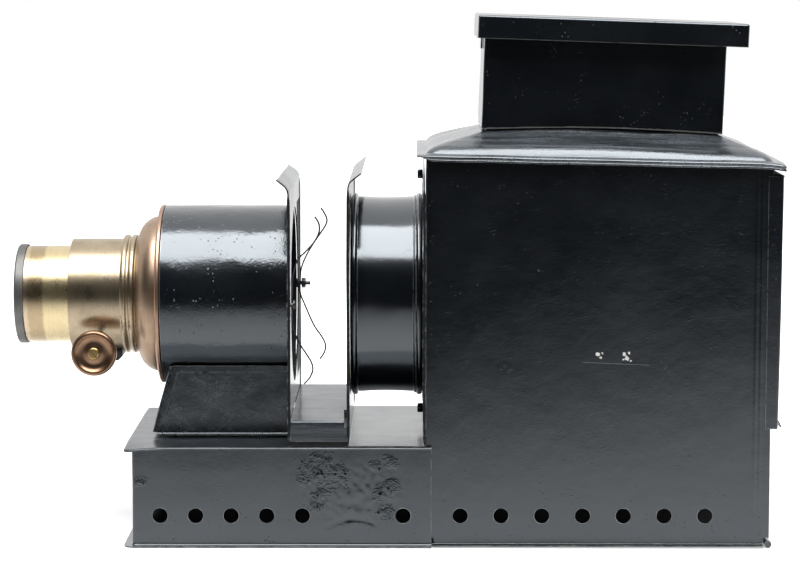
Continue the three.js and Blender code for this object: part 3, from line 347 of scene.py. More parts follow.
def japanned(name, grain=1.0, coat=0.4, rough=(0.17, 0.25), wear=1.0, specks=0.5, haze=0.0, run=14, chips=(),
             bare_lines=(), lifted=()):
    """Old black japan on tinplate: orange peel, paint specks, cloudy gloss, and bare tin where it has rubbed.

    haze is a pale bluish film, partly dust and partly a painted sheen, which is drawn out along X when run is
    low.
    """
    material, tree, shader = node_tree(name)
    place = put(tree, "TexCoord").outputs["Object"]
    clouds = cloud(tree, place, 38, 4.0, 0.6)
    fine = cloud(tree, place, 1.3, 2.0)
    peel = bumped(tree, fine, 0.03 * grain)
    wavy = bumped(tree, cloud(tree, place, 16, 2.0), 0.16 * grain, peel)
    cell = put(tree, "TexVoronoi", Vector=place, Scale=1 / (2.4 * MM)).outputs["Distance"]
    sown = spread(tree, cloud(tree, place, 9, 3.0), 0.5, 0.62)
    speck = combined(tree, spread(tree, cell, 0.2, 0.08), sown)
    raised = bumped(tree, speck, 0.09 * grain, wavy)
    patchy_edge = spread(tree, cloud(tree, place, 5, 4.0, 0.7), 0.52 - 0.12 * wear, 0.62)
    bare = combined(tree, edge_wear(tree, 0.7), patchy_edge)
    deep, faded = (0.0028, 0.0042, 0.0062, 1), (0.005, 0.0065, 0.0085, 1)
    colour = tint(tree, spread(tree, clouds, 0.35, 0.7), deep, faded)
    rust = spread(tree, cloud(tree, place, 6, 5.0, 0.75), 0.66, 0.76)
    colour = tint(tree, combined(tree, rust, 0.6), colour, (0.03, 0.024, 0.02, 1))
    # Painted sheen: the haze tints the japan towards a pale bluish grey, partly dust and partly standing in
    # for sheen.
    if haze:
        along = put(tree, "VectorMath", {"operation": "MULTIPLY"}, _0=place, _1=(run, 170, 170)).outputs[0]
        streaks = put(tree, "TexNoise", Vector=along, Scale=1.0, Detail=4.0, Roughness=0.65).outputs[0]
        film = combined(tree, spread(tree, streaks, 0.38, 0.7), spread(tree, fine, 0.3, 0.6))
        colour = tint(tree, combined(tree, film, haze), colour, (0.13, 0.15, 0.175, 1))
        raised = bumped(tree, streaks, 0.3 if run < 100 else 0.06, raised)
    pale = combined(tree, speck, spread(tree, cloud(tree, place, 23, 2.0), 0.62 - 0.2 * specks, 0.75))
    colour = tint(tree, pale, colour, (0.19, 0.185, 0.175, 1))
    for chip in chips:
        colour = tint(tree, chip_at(tree, place, *chip), colour, (0.8, 0.8, 0.76, 1))
    for line in bare_lines:
        bare = combined(tree, bare, rubbed_line(tree, place, *line), "MAXIMUM")
    colour = tint(tree, bare, colour, (0.42, 0.42, 0.40, 1))
    gloss = spread(tree, clouds, 0.3, 0.72, rough[0], rough[1])
    shine = coat
    if lifted:
        crust, patch, flaked = flaking(tree, place, lifted)
        colour = tint(tree, flaked, colour, (0.003, 0.003, 0.0035, 1))
        gloss = spread(tree, flaked, 0, 1, gloss, 0.8)
        shine = spread(tree, flaked, 0, 1, coat, 0.0)
        set_inputs(tree, shader, {"Specular IOR Level": spread(tree, flaked, 0, 1, 0.5, 0.05)})
        raised = bumped(tree, combined(tree, crust, patch), 0.9, raised)
        raised = bumped(tree, combined(tree, flaked, -1.0), 0.25, raised)
    set_inputs(tree, shader, {
        "Base Color": colour,
        "Metallic": combined(tree, bare, 0.7),
        "Roughness": gloss,
        "IOR": 1.9,
        "Specular Tint": (0.84, 0.93, 1.0, 1),
        "Coat Weight": shine,
        "Coat Roughness": 0.1,
        "Normal": raised,
        "Coat Normal": raised,
    })
    return material


wall_japan = japanned("wall_japan")

half_wide, wall_foot, wall_head, front_x, lap_x = 71.1, TIN, 57.6, 4.6, 178.0
plan = FoldedLine([(lap_x, -half_wide), (front_x, -half_wide), (front_x, half_wide), (lap_x, half_wide)], 1.6)
rise = FoldedLine([(0, wall_head), (0, wall_foot), (4.9, wall_foot)], 1.1)


def blister(x, z):
    """Knocks and lifted japan in the middle of the base's side, with a crease low down."""
    spread_out = math.exp(-((x - 133) / 22) ** 2 - ((z - 32) / 19) ** 2)
    knocks = abs(noise.noise(Vector((x / 7, z / 7, 3)))) - 0.4 * noise.noise(Vector((x / 3, z / 3, 8)))
    crease_z = 10.5 + 5.5 * math.sin(math.pi * held((x - 116) / (11 * math.pi)))
    crease = math.exp(-((z - crease_z) / 0.9) ** 2) * held(min((x - 114) / 4, (148 - x) / 4))
    return 0.45 * spread_out * knocks + 0.3 * crease


def bend_base(u, v, depth):
    """Where a point of the flat strip ends up: u runs round the plan and v down to the flange."""
    (px, py), (nx, ny) = plan.at(u)
    (out, z), (no, nz) = rise.at(v)
    near = 1 if py < -half_wide + 2 else 0
    fade = min(1.0, v / 12, max(0.0, rise.length - 8 - v) / 12)
    push = fade * (ripple(px, py, z, 0.25, 45) - near * blister(px, z)) - depth * no + out
    return px + nx * push, py + ny * push, z - depth * nz


vent_xs, vent_height, vent_radius = (20.8, 41.4, 62, 82.6, 103.3, 161.6), 18, 4.4
vents = [circle(lap_x - x, wall_head - vent_height, vent_radius) for x in vent_xs]
vents += [circle(plan.length - lap_x + x, wall_head - vent_height, vent_radius) for x in vent_xs]
strip = [(0, 0), (plan.length, 0), (plan.length, rise.length), (0, rise.length)]
knocked_from, knocked_to = 104, 158
base_us = sorted(plan.stations(3.2) + every(lap_x - knocked_to, lap_x - knocked_from, 1.3))
base_shell = blank("base_shell_tin", strip, vents, base_us, rise.stations(1.4), bend_base)
flaked_xz = ((108, 43, 9), (114, 45, 11), (122, 42, 8), (113, 29, 6), (111, 24, 5), (154, 34, 6),
             (149, 31, 5), (155, 49, 5), (146, 47, 4), (152, 20, 5), (9, 38, 4))
flaked_spots = [(x, -71, z, reach) for x, z, reach in flaked_xz]
base_shell.data.materials.append(japanned("base_japan", lifted=flaked_spots))
fit(base_shell, "root", "japanned_tin", "base_shell")


# ---------------------------------------------------------------- base plate
# A flat sheet laid over the base shell, black japanned, with a rolled hem on its front and long edges.
# It is notched at the back so that its tongues run beside the lamphouse. One front corner is bent down.

# Its pale haze is partly dust and partly a painted sheen.
top_japan = japanned("top_japan", grain=0.9, coat=0.3, rough=(0.26, 0.38), specks=1.0, haze=0.25)

plate_half, plate_back, plate_top = 76, 178, 58.7
notch_x, notch_half, hem_room = 174.7, 70.3, 1.2
sheet_half = plate_half - hem_room
plate_loop = [(hem_room, -sheet_half), (plate_back, -sheet_half), (plate_back, -notch_half),
              (notch_x, -notch_half), (notch_x, notch_half), (plate_back, notch_half),
              (plate_back, sheet_half), (hem_room, sheet_half)]


def droop(x, y):
    """The bent front corner and the slack of the sheet between its hems."""
    corner = max(0.0, 1 - x / 26) * max(0.0, (-y - 44) / 32)
    return -1.6 * corner ** 1.5


def bend_plate(u, v, depth):
    """Where a point of the plate lies, a little slack between its hems."""
    return u, v, plate_top - depth + droop(u, v) - 0.6 * ripple(u, v, 0, 0.18, 30)


plate = blank("base_plate_sheet", plate_loop, [], every(hem_room, plate_back, 4.4),
              every(-sheet_half, sheet_half, 5), bend_plate)


def skin(count, wide, gap=None):
    """Faces between `count` rings of `wide` points and from the last to the first, but for one step."""
    faces = []
    for i in range(count):
        if i == gap:
            continue
        below = (i + 1) % count * wide
        for j in range(wide):
            beside = (j + 1) % wide
            faces.append((i * wide + j, i * wide + beside, below + beside, below + j))
    return faces


def swept(name, path, section):
    """A section of (across, up) carried along a path of points in metres, with mitred corners."""
    count, wide = len(path), len(section)
    runs = [(b - a).normalized() for a, b in zip(path, path[1:])]
    first = runs[0]
    up = Vector((0, 0, 1)) if abs(first.z) < 0.9 else Vector((0, 1, 0))
    up = (up - first * up.dot(first)).normalized()
    points = []
    for i, point in enumerate(path):
        into, away = runs[max(0, i - 1)], runs[min(i, count - 2)]
        if i:
            up = runs[max(0, i - 2)].rotation_difference(into) @ up
        side = into.cross(up).normalized()
        face = (into + away).normalized()
        for across, high in section:
            step = side * across * MM + up * high * MM
            points.append(point + step - into * (step.dot(face) / max(into.dot(face), 0.2)))
    faces = skin(count, wide, count - 1)
    faces += [tuple(range(wide)), tuple(range(len(points) - 1, len(points) - wide - 1, -1))]
    return mesh_piece(name, points, faces)


def joined(name, *pieces):
    """Several meshes made one object."""
    whole = bmesh.new()
    for piece in pieces:
        whole.from_mesh(piece.data)
        mesh = piece.data
        bpy.data.objects.remove(piece)
        bpy.data.meshes.remove(mesh)
    mesh = bpy.data.meshes.new(name)
    whole.to_mesh(mesh)
    whole.free()
    return smoothed(bpy.data.objects.new(name, mesh))


def oval(wide, high, sides=16):
    """The section of a flattened hem."""
    found = []
    for i in range(sides):
        angle = 2 * math.pi * i / sides
        side = abs(math.cos(angle)) ** 0.6 * math.copysign(1, math.cos(angle))
        found.append((wide / 2 * side, high / 2 * math.sin(angle)))
    return found


hem_wide, hem_high, hem_inset = 3.2, 1.65, 1.7
hem_half = plate_half - hem_inset
hem_plan = [(x, -hem_half) for x in every(plate_back, hem_wide, -6)] + [(hem_inset + 0.4, 0.5 - hem_half)]
hem_plan += [(hem_inset, y) for y in every(hem_inset - hem_half, hem_half - hem_inset, 6)]
hem_plan += [(hem_inset + 0.4, hem_half - 0.5)] + [(x, hem_half) for x in every(hem_wide, plate_back, 6)]
hem_path = [at(x, y, plate_top - 0.85 + droop(x, y) + ripple(x, y, 5, 0.25, 34)) for x, y in hem_plan]
hem = swept("base_plate_hem", hem_path, oval(hem_wide, hem_high))
base_top = joined("base_top_tin", plate, hem)
base_top.data.materials.append(top_japan)
fit(base_top, "root", "japanned_tin", "base_top")


# ---------------------------------------------------------------- lamphouse walls
# The two long walls are flat sheets, vented along the foot, with the foot turned out as a flange and a
# folded seam near the back edge. The near wall has two clusters of chips and a long fine scratch.

house_x, house_end, house_half, fall = 175.0, 373.5, 70.0, math.tan(math.radians(1.25))
chips_xz = ((273.6, 112.4, 1.5), (275.2, 110.6, 1.2), (276.4, 113.0, 1.0), (288.9, 112.6, 1.3),
            (290.6, 110.4, 1.6), (291.6, 113.2, 1.0), (288.4, 109.4, 0.8), (292.6, 108.6, 1.0))
chip_list = [(x, -house_half, z, size) for x, z, size in chips_xz]
long_scratch = ((264.0, 107.8), (304.0, 106.1), 0.2)
near_japan = japanned("near_wall_japan", chips=chip_list, bare_lines=(long_scratch,))


def house_wall(name, side, node, paint):
    """One long wall. side is -1 for the near one."""

    def bend(u, v, depth):
        ridges = sum(math.exp(-((u - x) / wide) ** 2) for x, wide in ((364.6, 0.9), (367.4, 0.8)))
        seam = 0.55 * ridges * min(1, v / 9)
        bow = ripple(u, 0, v, 0.4, 70) + ripple(u, 4, v, 0.12, 22)
        hold = min(1, v / 14, (u - house_x) / 9, (house_end - u) / 6, (top_at(u) - v) / 8)
        (out, z), (no, nz) = foot.at(v)
        push = out + max(0.0, hold) * bow * -0.5 + seam * 0.5 - depth * no
        return u, side * (house_half + push), z - depth * nz

    flange, line_top, wall_top, notch_front, notch_back, sill_top = 5.9, 224, 226.7, 178.3, 370, 5.2
    foot = FoldedLine([(flange, TIN), (0, TIN), (0, line_top)], 1.1)

    def across(z):
        """Where a height lies on the flat sheet."""
        return foot.length - (line_top - z)

    def top_at(u):
        """Where the sheet's upper edge runs, under the eaves."""
        return across(wall_top - fall * (u - house_x))

    outline = [(house_x, flange), (notch_front, flange), (notch_front, 0), (notch_back, 0),
               (notch_back, across(sill_top)), (house_end, across(sill_top)),
               (house_end, top_at(house_end)), (house_x, top_at(house_x))]
    holes = [circle(194.7 + 23.6 * i, across(vent_height), vent_radius) for i in range(7)]
    us = every(house_x, 362.5, 5) + every(363.4, 368.8, 0.45) + [371, house_end]
    wall = blank(name, outline, holes, us, foot.stations(5), bend)
    wall.data.materials.append(paint)
    return fit(wall, "root", "japanned_tin", node)


house_wall("house_wall_near_tin", -1, "house_wall_near", near_japan)
house_wall("house_wall_far_tin", 1, "house_wall_far", wall_japan)


# ---------------------------------------------------------------- lamphouse ends
# The front wall is a flat sheet with the condenser's opening cut in it. The back is a frame round the way
# in for the lamp, and a stout wire is rolled into the sill under it. All japanned.

def flat_front(u, v, depth):
    """The front wall's sheet stands upright, with its outside to the front."""
    return house_x + depth, u, v


AXIS_Z, glass_bore = 139.5, 50.8
end_half, front_foot, front_top = 68.9, 46.7, 226.5
front_loop = [(-end_half, front_foot), (end_half, front_foot), (end_half, front_top), (-end_half, front_top)]
front_wall = blank("house_front_tin", front_loop, [circle(0, AXIS_Z, glass_bore, 96)],
                   every(-end_half, end_half, 8), every(front_foot, front_top, 8), flat_front)
front_wall.data.materials.append(wall_japan)
fit(front_wall, "root", "japanned_tin", "house_front")


def flat_back(u, v, depth):
    """The rear frame's sheet stands upright, with its outside to the back."""
    return house_end - depth, u, v


post_half, frame_foot, way_top = 65.9, 5.2, 204.3
back_top = front_top - fall * (house_end - house_x)
frame_loop = [(-end_half, frame_foot), (-post_half, frame_foot), (-post_half, way_top), (post_half, way_top),
              (post_half, frame_foot), (end_half, frame_foot), (end_half, back_top), (-end_half, back_top)]
back_frame = blank("house_back_tin", frame_loop, [], every(-end_half, end_half, 7),
                   every(frame_foot, back_top, 7), flat_back)
back_frame.data.materials.append(wall_japan)
fit(back_frame, "root", "japanned_tin", "house_back")

wire = [(2 * math.cos(math.pi * i / 12), 2 * math.sin(math.pi * i / 12)) for i in range(24)]
sill = swept("back_sill_wire", [at(372.5, y, 2.3 + 0.12 * math.sin(y / 9)) for y in every(-75, 75, 3)], wire)
sill.data.materials.append(wall_japan)
fit(sill, "root", "japanned_tin", "back_sill")


# ---------------------------------------------------------------- roof
# One sheet raised into a low dome, with soft hips running up to the chimney hole, and its eaves folded
# down all round. It falls a little towards the back, and the ends of its eaves droop.

# The roof's pale haze is partly dust and partly a painted sheen.
roof_japan = japanned("roof_japan", grain=1.0, coat=0.5, rough=(0.22, 0.34), specks=1.0, haze=0.8)
hole_front, hole_back, hole_half = 208.9, 345.4, 38.0


def rounded_ring(front, back, half, corner, turns, between):
    """Points round a rectangle with round corners, as (x, y) with the way out at each."""
    found = []
    corners = ((back - corner, half - corner), (front + corner, half - corner),
               (front + corner, -half + corner), (back - corner, -half + corner))
    for k, (cx, cy) in enumerate(corners):
        for i in range(turns + 1):
            angle = math.radians(90 * k + 90 * i / turns)
            nx, ny = math.cos(angle), math.sin(angle)
            found.append((cx + corner * nx, cy + corner * ny, nx, ny))
        ax, ay, nx, ny = found[-1]
        other_x, other_y = corners[(k + 1) % 4]
        run_x, run_y = other_x + corner * nx - ax, other_y + corner * ny - ay
        found += [(ax + run_x * i / between, ay + run_y * i / between, nx, ny) for i in range(1, between)]
    return found


HEM = ((5.2, 223.7), (5.85, 223.8), (5.95, 224.3), (5.7, 224.9), (5.45, 225.15), (5.75, 225.4), (5.95, 226.1),
       (5.7, 226.8), (5.0, 227.3), (3.5, 227.6), (1.7, 227.4), (1.0, 227.5))


def roof_height(x, y, share):
    """Height of the dome before it falls: a steep foot, a slow rise to the chimney, and a swelled middle."""
    along_side = math.exp(-((x - 262) / 70) ** 2) * (1 if abs(y) > 45 else 0.4)
    foot_rise = 2.3 + 2.5 * along_side
    swell = 2.1 * math.sin(math.pi * held((x - hole_front) / (hole_back - hole_front))) * share ** 2
    return 228 + foot_rise * (1 - math.exp(-31 * share / 2.5)) + (12.5 - foot_rise) * share + swell


def roof_rings(depth):
    """The hem, the margin and the dome, at a depth under the outside: places with their heights."""
    rings = []
    for reach, z in (HEM if depth == 0 else ((5.0, 223.8), (4.8, 226.3), (3.5, 226.8), (1.0, 226.7))):
        ring = rounded_ring(house_x - reach * 0.95, house_end + reach * 1.17, house_half + reach, 2, 6, 30)
        rings.append([(x, y, z if x > 174 else 227.4 - (227.4 - z) * 0.36) for x, y, *_ in ring])
    for i in range(27):
        share = (i / 26) ** 1.7
        front = house_x + (hole_front - house_x) * share
        back = house_end + (hole_back - house_end) * share
        ring = rounded_ring(front, back, house_half + (hole_half - house_half) * share, 6 - 5 * share, 6, 30)
        rings.append([(x, y, roof_height(x, y, share) - depth) for x, y, *_ in ring])
    return rings


def settled(x, y, z):
    """A point of the roof where the sheet has come to rest."""
    edge = max(0.0, abs(y) - 60) / 16
    ends = max(0.0, (x - 366) / 14)
    droop_here = min(1.0, edge) * min(1.0, ends) ** 2 * 1.5
    wave = ripple(x, y, 3, 0.5, 30) * (0.6 if z < 228 else 1.0)
    return at(x, y, z - fall * (x - house_x) - droop_here + wave)


outer, under = roof_rings(0), roof_rings(TIN)
rings = outer + under[::-1]
roof_points = [settled(*place) for ring in rings for place in ring]
roof = mesh_piece("roof_tin", roof_points, skin(len(rings), len(outer[0])), 50)
roof.data.materials.append(roof_japan)
fit(roof, "root", "japanned_tin", "roof")


# ---------------------------------------------------------------- chimney
# A rectangular tinplate stack that drops over a collar on the roof, and leans back a little. Its cap is a
# shallow lid with soft corners, carried over the smoke gap by a bent strap. All japanned, rubbed at edges;
# the bare line along the stack's foot is partly wear and partly a painted highlight.

stack_long, stack_high, stack_half, lean = 140.5, 61.0, 40, math.radians(2)
stack_front = 206.9
stack_foot = 241 - fall * (stack_front - house_x)
stack_japan = japanned("stack_japan", grain=1.0, coat=0.4, wear=1.4, specks=0.7)


def leaned(x, y, z):
    """A point of the stack, x behind its front and z above its foot, as it leans."""
    back = x * math.cos(lean) + z * math.sin(lean)
    up = z * math.cos(lean) - x * math.sin(lean)
    return stack_front + back, y, stack_foot + up


def box_round(front, back, half, corner):
    """The plan of a rectangular box, seamed in the middle of its far side."""
    return FoldedLine([(back / 2 + front / 2 + 0.01, half), (back, half), (back, -half), (front, -half),
                       (front, half), (back / 2 + front / 2 - 0.01, half)], corner)


def box_piece(name, front, back, half, corner, foot, top, place, wave):
    """Four walls folded from one strip."""
    around = box_round(front, back, half, corner)

    def bend(u, v, depth):
        (px, py), (nx, ny) = around.at(u)
        fade = min(1.0, u / 8, (around.length - u) / 8)
        push = ripple(px, py, v, wave, 28) * fade - depth
        return place(px + nx * push, py + ny * push, v)

    low = [(u, foot(around.at(u)[0].x)) for u in around.stations(6)]
    loop = low + [(around.length, top), (0, top)]
    return blank(name, loop, [], around.stations(6), every(0, top, 5), bend)


def falling(x, y, z):
    """A point that follows the fall of the eaves."""
    return x, y, z - fall * (x - house_x)


collar = box_piece("chimney_collar_tin", 209.2, 345.1, 37.7, 1.2, lambda x: 237.5, 252.5, falling, 0.0)
collar.data.materials.append(wall_japan)
fit(collar, "root", "japanned_tin", "chimney_collar")


def stack_edge(x):
    """The foot of the stack, which follows the roof under it."""
    return x * (math.tan(lean) - fall) + 2.1 * math.sin(math.pi * held(x / stack_long))


stack = box_piece("chimney_tin", 0, stack_long, stack_half, 1.3, stack_edge, stack_high, leaned, 0.3)
# Bare tin lines along the stack's whole foot: partly wear, partly a painted highlight.
foot_wear_and_highlight = []
for share in (0, 0.2, 0.4, 0.6, 0.8):
    ends = [leaned(stack_long * part, 0, stack_edge(stack_long * part)) for part in (share, share + 0.2)]
    foot_wear_and_highlight.append(((ends[0][0] - 1, ends[0][2] + 0.2), (ends[1][0] + 1, ends[1][2] + 0.2), 1.3))
stack.data.materials.append(japanned("stack_foot_japan", wear=1.4, specks=0.7, bare_lines=foot_wear_and_highlight))
fit(stack, "chimney_top", "japanned_tin", "chimney")


def lid(name, front, back, half, skirt, high, corner):
    """A shallow lid: a top that turns down all round through soft edges."""

    def ring(inset, z, depth):
        turn = max(0.4, corner - inset)
        gap = inset + depth
        points = []
        for x, y, nx, ny in rounded_ring(front + gap, back - gap, half - gap, turn, 5, 24):
            wave = ripple(x, y, z, 0.35, 32) * (1 if z < high - 3 else 0.3)
            sag = -0.5 * math.cos(min(1.0, abs(x - back / 2) / (back / 2)) * math.pi / 2) if inset > 2 else 0
            points.append(at(*leaned(x + nx * wave, y + ny * wave, z + sag)))
        return points

    bend_radius = 1.5
    layers = []
    for depth in (0.0, TIN):
        rows = [ring(0, z, depth) for z in every(high - skirt, high - bend_radius, 2.4)]
        for angle in (0.3, 0.6, 0.9, 1.2, 1.57):
            drop = bend_radius - (bend_radius - depth) * math.sin(angle)
            rows.append(ring(bend_radius * (1 - math.cos(angle)), high - drop, depth * math.cos(angle)))
        for share in (0.08, 0.25, 0.5, 0.75, 1.0):
            rows.append(ring(bend_radius + (half - 6) * share, high - depth, 0))
        layers.append(rows)
    rows = layers[0] + layers[1][::-1]
    wide, middle = len(rows[0]), len(rows) // 2
    faces = skin(len(rows), wide, middle - 1)
    for row in (middle - 1, middle):
        faces.append(tuple(row * wide + j for j in range(wide)))
    return mesh_piece(name, [p for row in rows for p in row], faces, 40)


smoke_gap, cap_front, cap_back, cap_side, cap_skirt = 4.5, 4.2, 11.6, 10, 13.4
cap = lid("chimney_cap_tin", -cap_front, stack_long + cap_back, stack_half + cap_side, cap_skirt,
          stack_high + smoke_gap + TIN, 1.6)
cap.data.materials.append(stack_japan)
fit(cap, "chimney_top", "japanned_tin", "chimney_cap")

strap_out, strap_top, strap_half = 1.3, stack_high + 4.2, 10
strap_line = FoldedLine([(-strap_out, stack_high - 15), (-strap_out, strap_top),
                         (stack_long + strap_out, strap_top), (stack_long + strap_out, stack_high - 8)], 1.4)


def oblong(low, high, length):
    """The outline of a plain strip of tin."""
    return [(low, 0), (high, 0), (high, length), (low, length)]


def bend_strap(u, v, depth):
    """Where a point of the strap ends up, over the stack from front to back."""
    (px, pz), (nx, nz) = strap_line.at(v)
    return leaned(px - nx * (depth - 0.05), u, pz - nz * (depth - 0.05))


strap = blank("cap_strap_tin", oblong(-strap_half, strap_half, strap_line.length), [],
              every(-strap_half, strap_half, 4), strap_line.stations(6), bend_strap, 0.95)
strap.data.materials.append(stack_japan)
fit(strap, "chimney_top", "japanned_tin", "cap_strap")


# ---------------------------------------------------------------- condenser cradle
# A sheet folded into a U that stands on the base plate and holds the condenser between its two walls.
# Its head is curled back for stiffness and its upright edges are folded over, which lamp black has dulled.
# Two small square clips are soldered to its rear wall.

sheet_japan = japanned("sheet_japan", grain=0.9, coat=0.4, rough=(0.2, 0.28), wear=1.6, specks=0.8)
lamp_black = japanned("lamp_black", coat=0.0, rough=(0.6, 0.75), wear=0.3, specks=0.3)
lamp_black.node_tree.nodes["Principled BSDF"].inputs["Specular IOR Level"].default_value = 0.15
cradle_x, cradle_back, cradle_half = 129.6, 174.2, 75.0
upright_foot, curl_start, rear_head = 59, 208, 216
fold_wide = 1.9


def blackened(piece, chosen):
    """Lamp black on the faces whose middle is chosen."""
    piece.data.materials.append(lamp_black)
    for face in piece.data.polygons:
        middle = face.center / MM
        face.material_index = 1 if chosen(middle.x - front_edge / MM, middle.y, middle.z) else 0


def curled_head(x, z, radius, turn, lip, way):
    """From the rim of a turned-over edge down to where it starts, as (x, z). way is the side it goes to."""
    angles = [math.radians(turn * i / 8) for i in range(9)]
    bend = [(x + way * radius * (1 - math.cos(a)), z + radius * math.sin(a)) for a in angles]
    tip = math.radians(turn)
    bend.append((bend[-1][0] + way * lip * math.sin(tip), bend[-1][1] + lip * math.cos(tip)))
    return bend[::-1]


def path_length(points):
    """How long a line of short steps is."""
    return sum((Vector(b) - Vector(a)).length for a, b in zip(points, points[1:]))


def folded_edge(u, z, top, depth):
    """How far the folded upright edge of a sheet thickens it, out of its face or out of its back."""
    share = held((abs(u) - cradle_half + fold_wide) / 0.4) * held(min(z - upright_foot - 2, top - z) / 4)
    return share * (0.5 if depth else -0.45)


cradle_head = curled_head(cradle_x, curl_start, 6.4, 53, 6.6, 1)
cradle_line = FoldedLine(cradle_head + [(cradle_x, upright_foot), (cradle_back, upright_foot),
                                        (cradle_back, rear_head)], 1.2)
curl_end = path_length(cradle_head)


def bend_cradle(u, v, depth):
    """Where a point of the cradle ends up: u runs across, and v from the curl to the rear wall's head."""
    (px, pz), (nx, nz) = cradle_line.at(v)
    loose = held((pz - 62) / 20) * max(0.0, abs(u) - 52) / 23
    give = ripple(u, pz, px, 0.3, 40) * loose
    return px + nx * (depth + folded_edge(u, pz, curl_start - 1, depth)) + give, u, pz + nz * depth


fold_start = cradle_half - fold_wide
upright_us = every(-fold_start, fold_start, 4)
upright_us += [-cradle_half, -fold_start - 0.4, fold_start + 0.4, cradle_half]
eyes = [circle(0, v, glass_bore, 96) for v in
        (curl_end + curl_start - AXIS_Z, cradle_line.length - rear_head + AXIS_Z)]
cradle = blank("condenser_cradle_tin", oblong(-cradle_half, cradle_half, cradle_line.length), eyes,
               sorted(upright_us), cradle_line.stations(4), bend_cradle)
cradle.data.materials.append(sheet_japan)
blackened(cradle, lambda x, y, z: abs(y) > fold_start + 0.1 and z > upright_foot + 2)
fit(cradle, "root", "japanned_tin", "condenser_cradle")


def eased_copy(node, name, ease=0.4, sharp=30):
    """A finer copy of a CAD piece, with its sharp edges eased as filing or casting leaves them."""
    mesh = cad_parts[node].data.copy()
    mesh.name = name
    mesh.materials.clear()
    piece = bpy.data.objects.new(name, mesh)
    work = bmesh.new()
    work.from_mesh(mesh)
    bmesh.ops.remove_doubles(work, verts=work.verts, dist=1e-6)
    steep = math.radians(sharp)
    edges = [e for e in work.edges if len(e.link_faces) == 2 and e.calc_face_angle_signed(0) > steep]
    bmesh.ops.bevel(work, geom=edges, offset=ease * MM, segments=2, profile=0.5,
                    affect="EDGES", clamp_overlap=True)
    work.to_mesh(mesh)
    work.free()
    return smoothed(piece)


for node in ("cradle_clip_top", "cradle_clip_bottom"):
    clip = eased_copy(node, node + "_tin", 0.5)
    clip.data.materials.append(sheet_japan)
    fit(clip, "root", "japanned_tin", node)


# ---------------------------------------------------------------- condenser drum
# A cylinder of tinplate with a bead rolled into it near each end, enamelled a deeper, glossier black than
# the rest. It holds the condenser's cell.

drum_japan = japanned("drum_japan", grain=0.5, coat=0.7, rough=(0.14, 0.2), wear=1.0, specks=0.3)


def eased(profile, radius, steps=4):
    """A closed profile with its sharp corners rounded."""
    count, found = len(profile), []
    for i, corner in enumerate(profile):
        here = Vector(corner)
        before, after = Vector(profile[i - 1]) - here, Vector(profile[(i + 1) % count]) - here
        bend = before.angle(after, math.pi)
        if bend > math.radians(155) or before.length < 0.05 or after.length < 0.05:
            found.append(tuple(here))
            continue
        reach = min(radius, before.length * 0.4, after.length * 0.4)
        start, stop = here + before.normalized() * reach, here + after.normalized() * reach
        for k in range(steps + 1):
            t = k / steps
            found.append(tuple(start * (1 - t) ** 2 + here * 2 * t * (1 - t) + stop * t * t))
    return found


def turned(name, profile, axis="x", centre=(0.0, AXIS_Z), sides=160, uneven=None, sharp=32):
    """A closed profile of (along, radius) turned about an axis along x, y or up."""
    points = []
    for k in range(sides):
        angle = 2 * math.pi * k / sides
        for along, radius in profile:
            r = radius + (uneven(along, angle) if uneven else 0)
            a, b = r * math.cos(angle), r * math.sin(angle)
            if axis == "x":
                points.append(at(along, centre[0] + a, centre[1] + b))
            elif axis == "y":
                points.append(at(centre[0] + a, along, centre[1] + b))
            else:
                points.append(at(centre[0] + a, centre[1] + b, along))
    return mesh_piece(name, points, skin(sides, len(profile)), sharp)


def rolled(x, radius, height, steps=8, width=1.0):
    """A bead rolled out of a cylinder's wall, as (x, radius)."""
    angles = [math.pi * i / steps for i in range(steps + 1)]
    return [(x - height * width * math.cos(a), radius + height * math.sin(a)) for a in angles]


def out_of_round(x, angle, length, lobes):
    """The slow unevenness of a handled tube, from -1 to 1."""
    return noise.noise(Vector((x / length, lobes * math.cos(angle), lobes * math.sin(angle))))


drum_front, drum_back, drum_radius = 130.7, 173.1, 58.5
drum_out = ([(drum_front, drum_radius)] + rolled(drum_front + 2.2, drum_radius, 2)
            + [(x, drum_radius - 0.5 * math.sin(math.pi * (x - 137) / 29)) for x in every(137, 166, 2.4)]
            + rolled(drum_back - 4.4, drum_radius, 1.0, 8, 1.2) + rolled(drum_back - 2.2, drum_radius, 2))
drum_out.append((drum_back, drum_radius))
drum_in = [(x, r - TIN) for x, r in reversed(drum_out)]
drum = turned("condenser_drum_tin", drum_out + drum_in, sides=200,
              uneven=lambda x, angle: 0.12 * out_of_round(x, angle, 14, 5))
drum.data.materials.append(drum_japan)
fit(drum, "root", "japanned_tin", "condenser_drum")


# ---------------------------------------------------------------- condenser
# A brass cell inside the drum holds two plano-convex lenses of clear glass, curved sides together, with a
# split spacer between them and a ring that screws in behind.

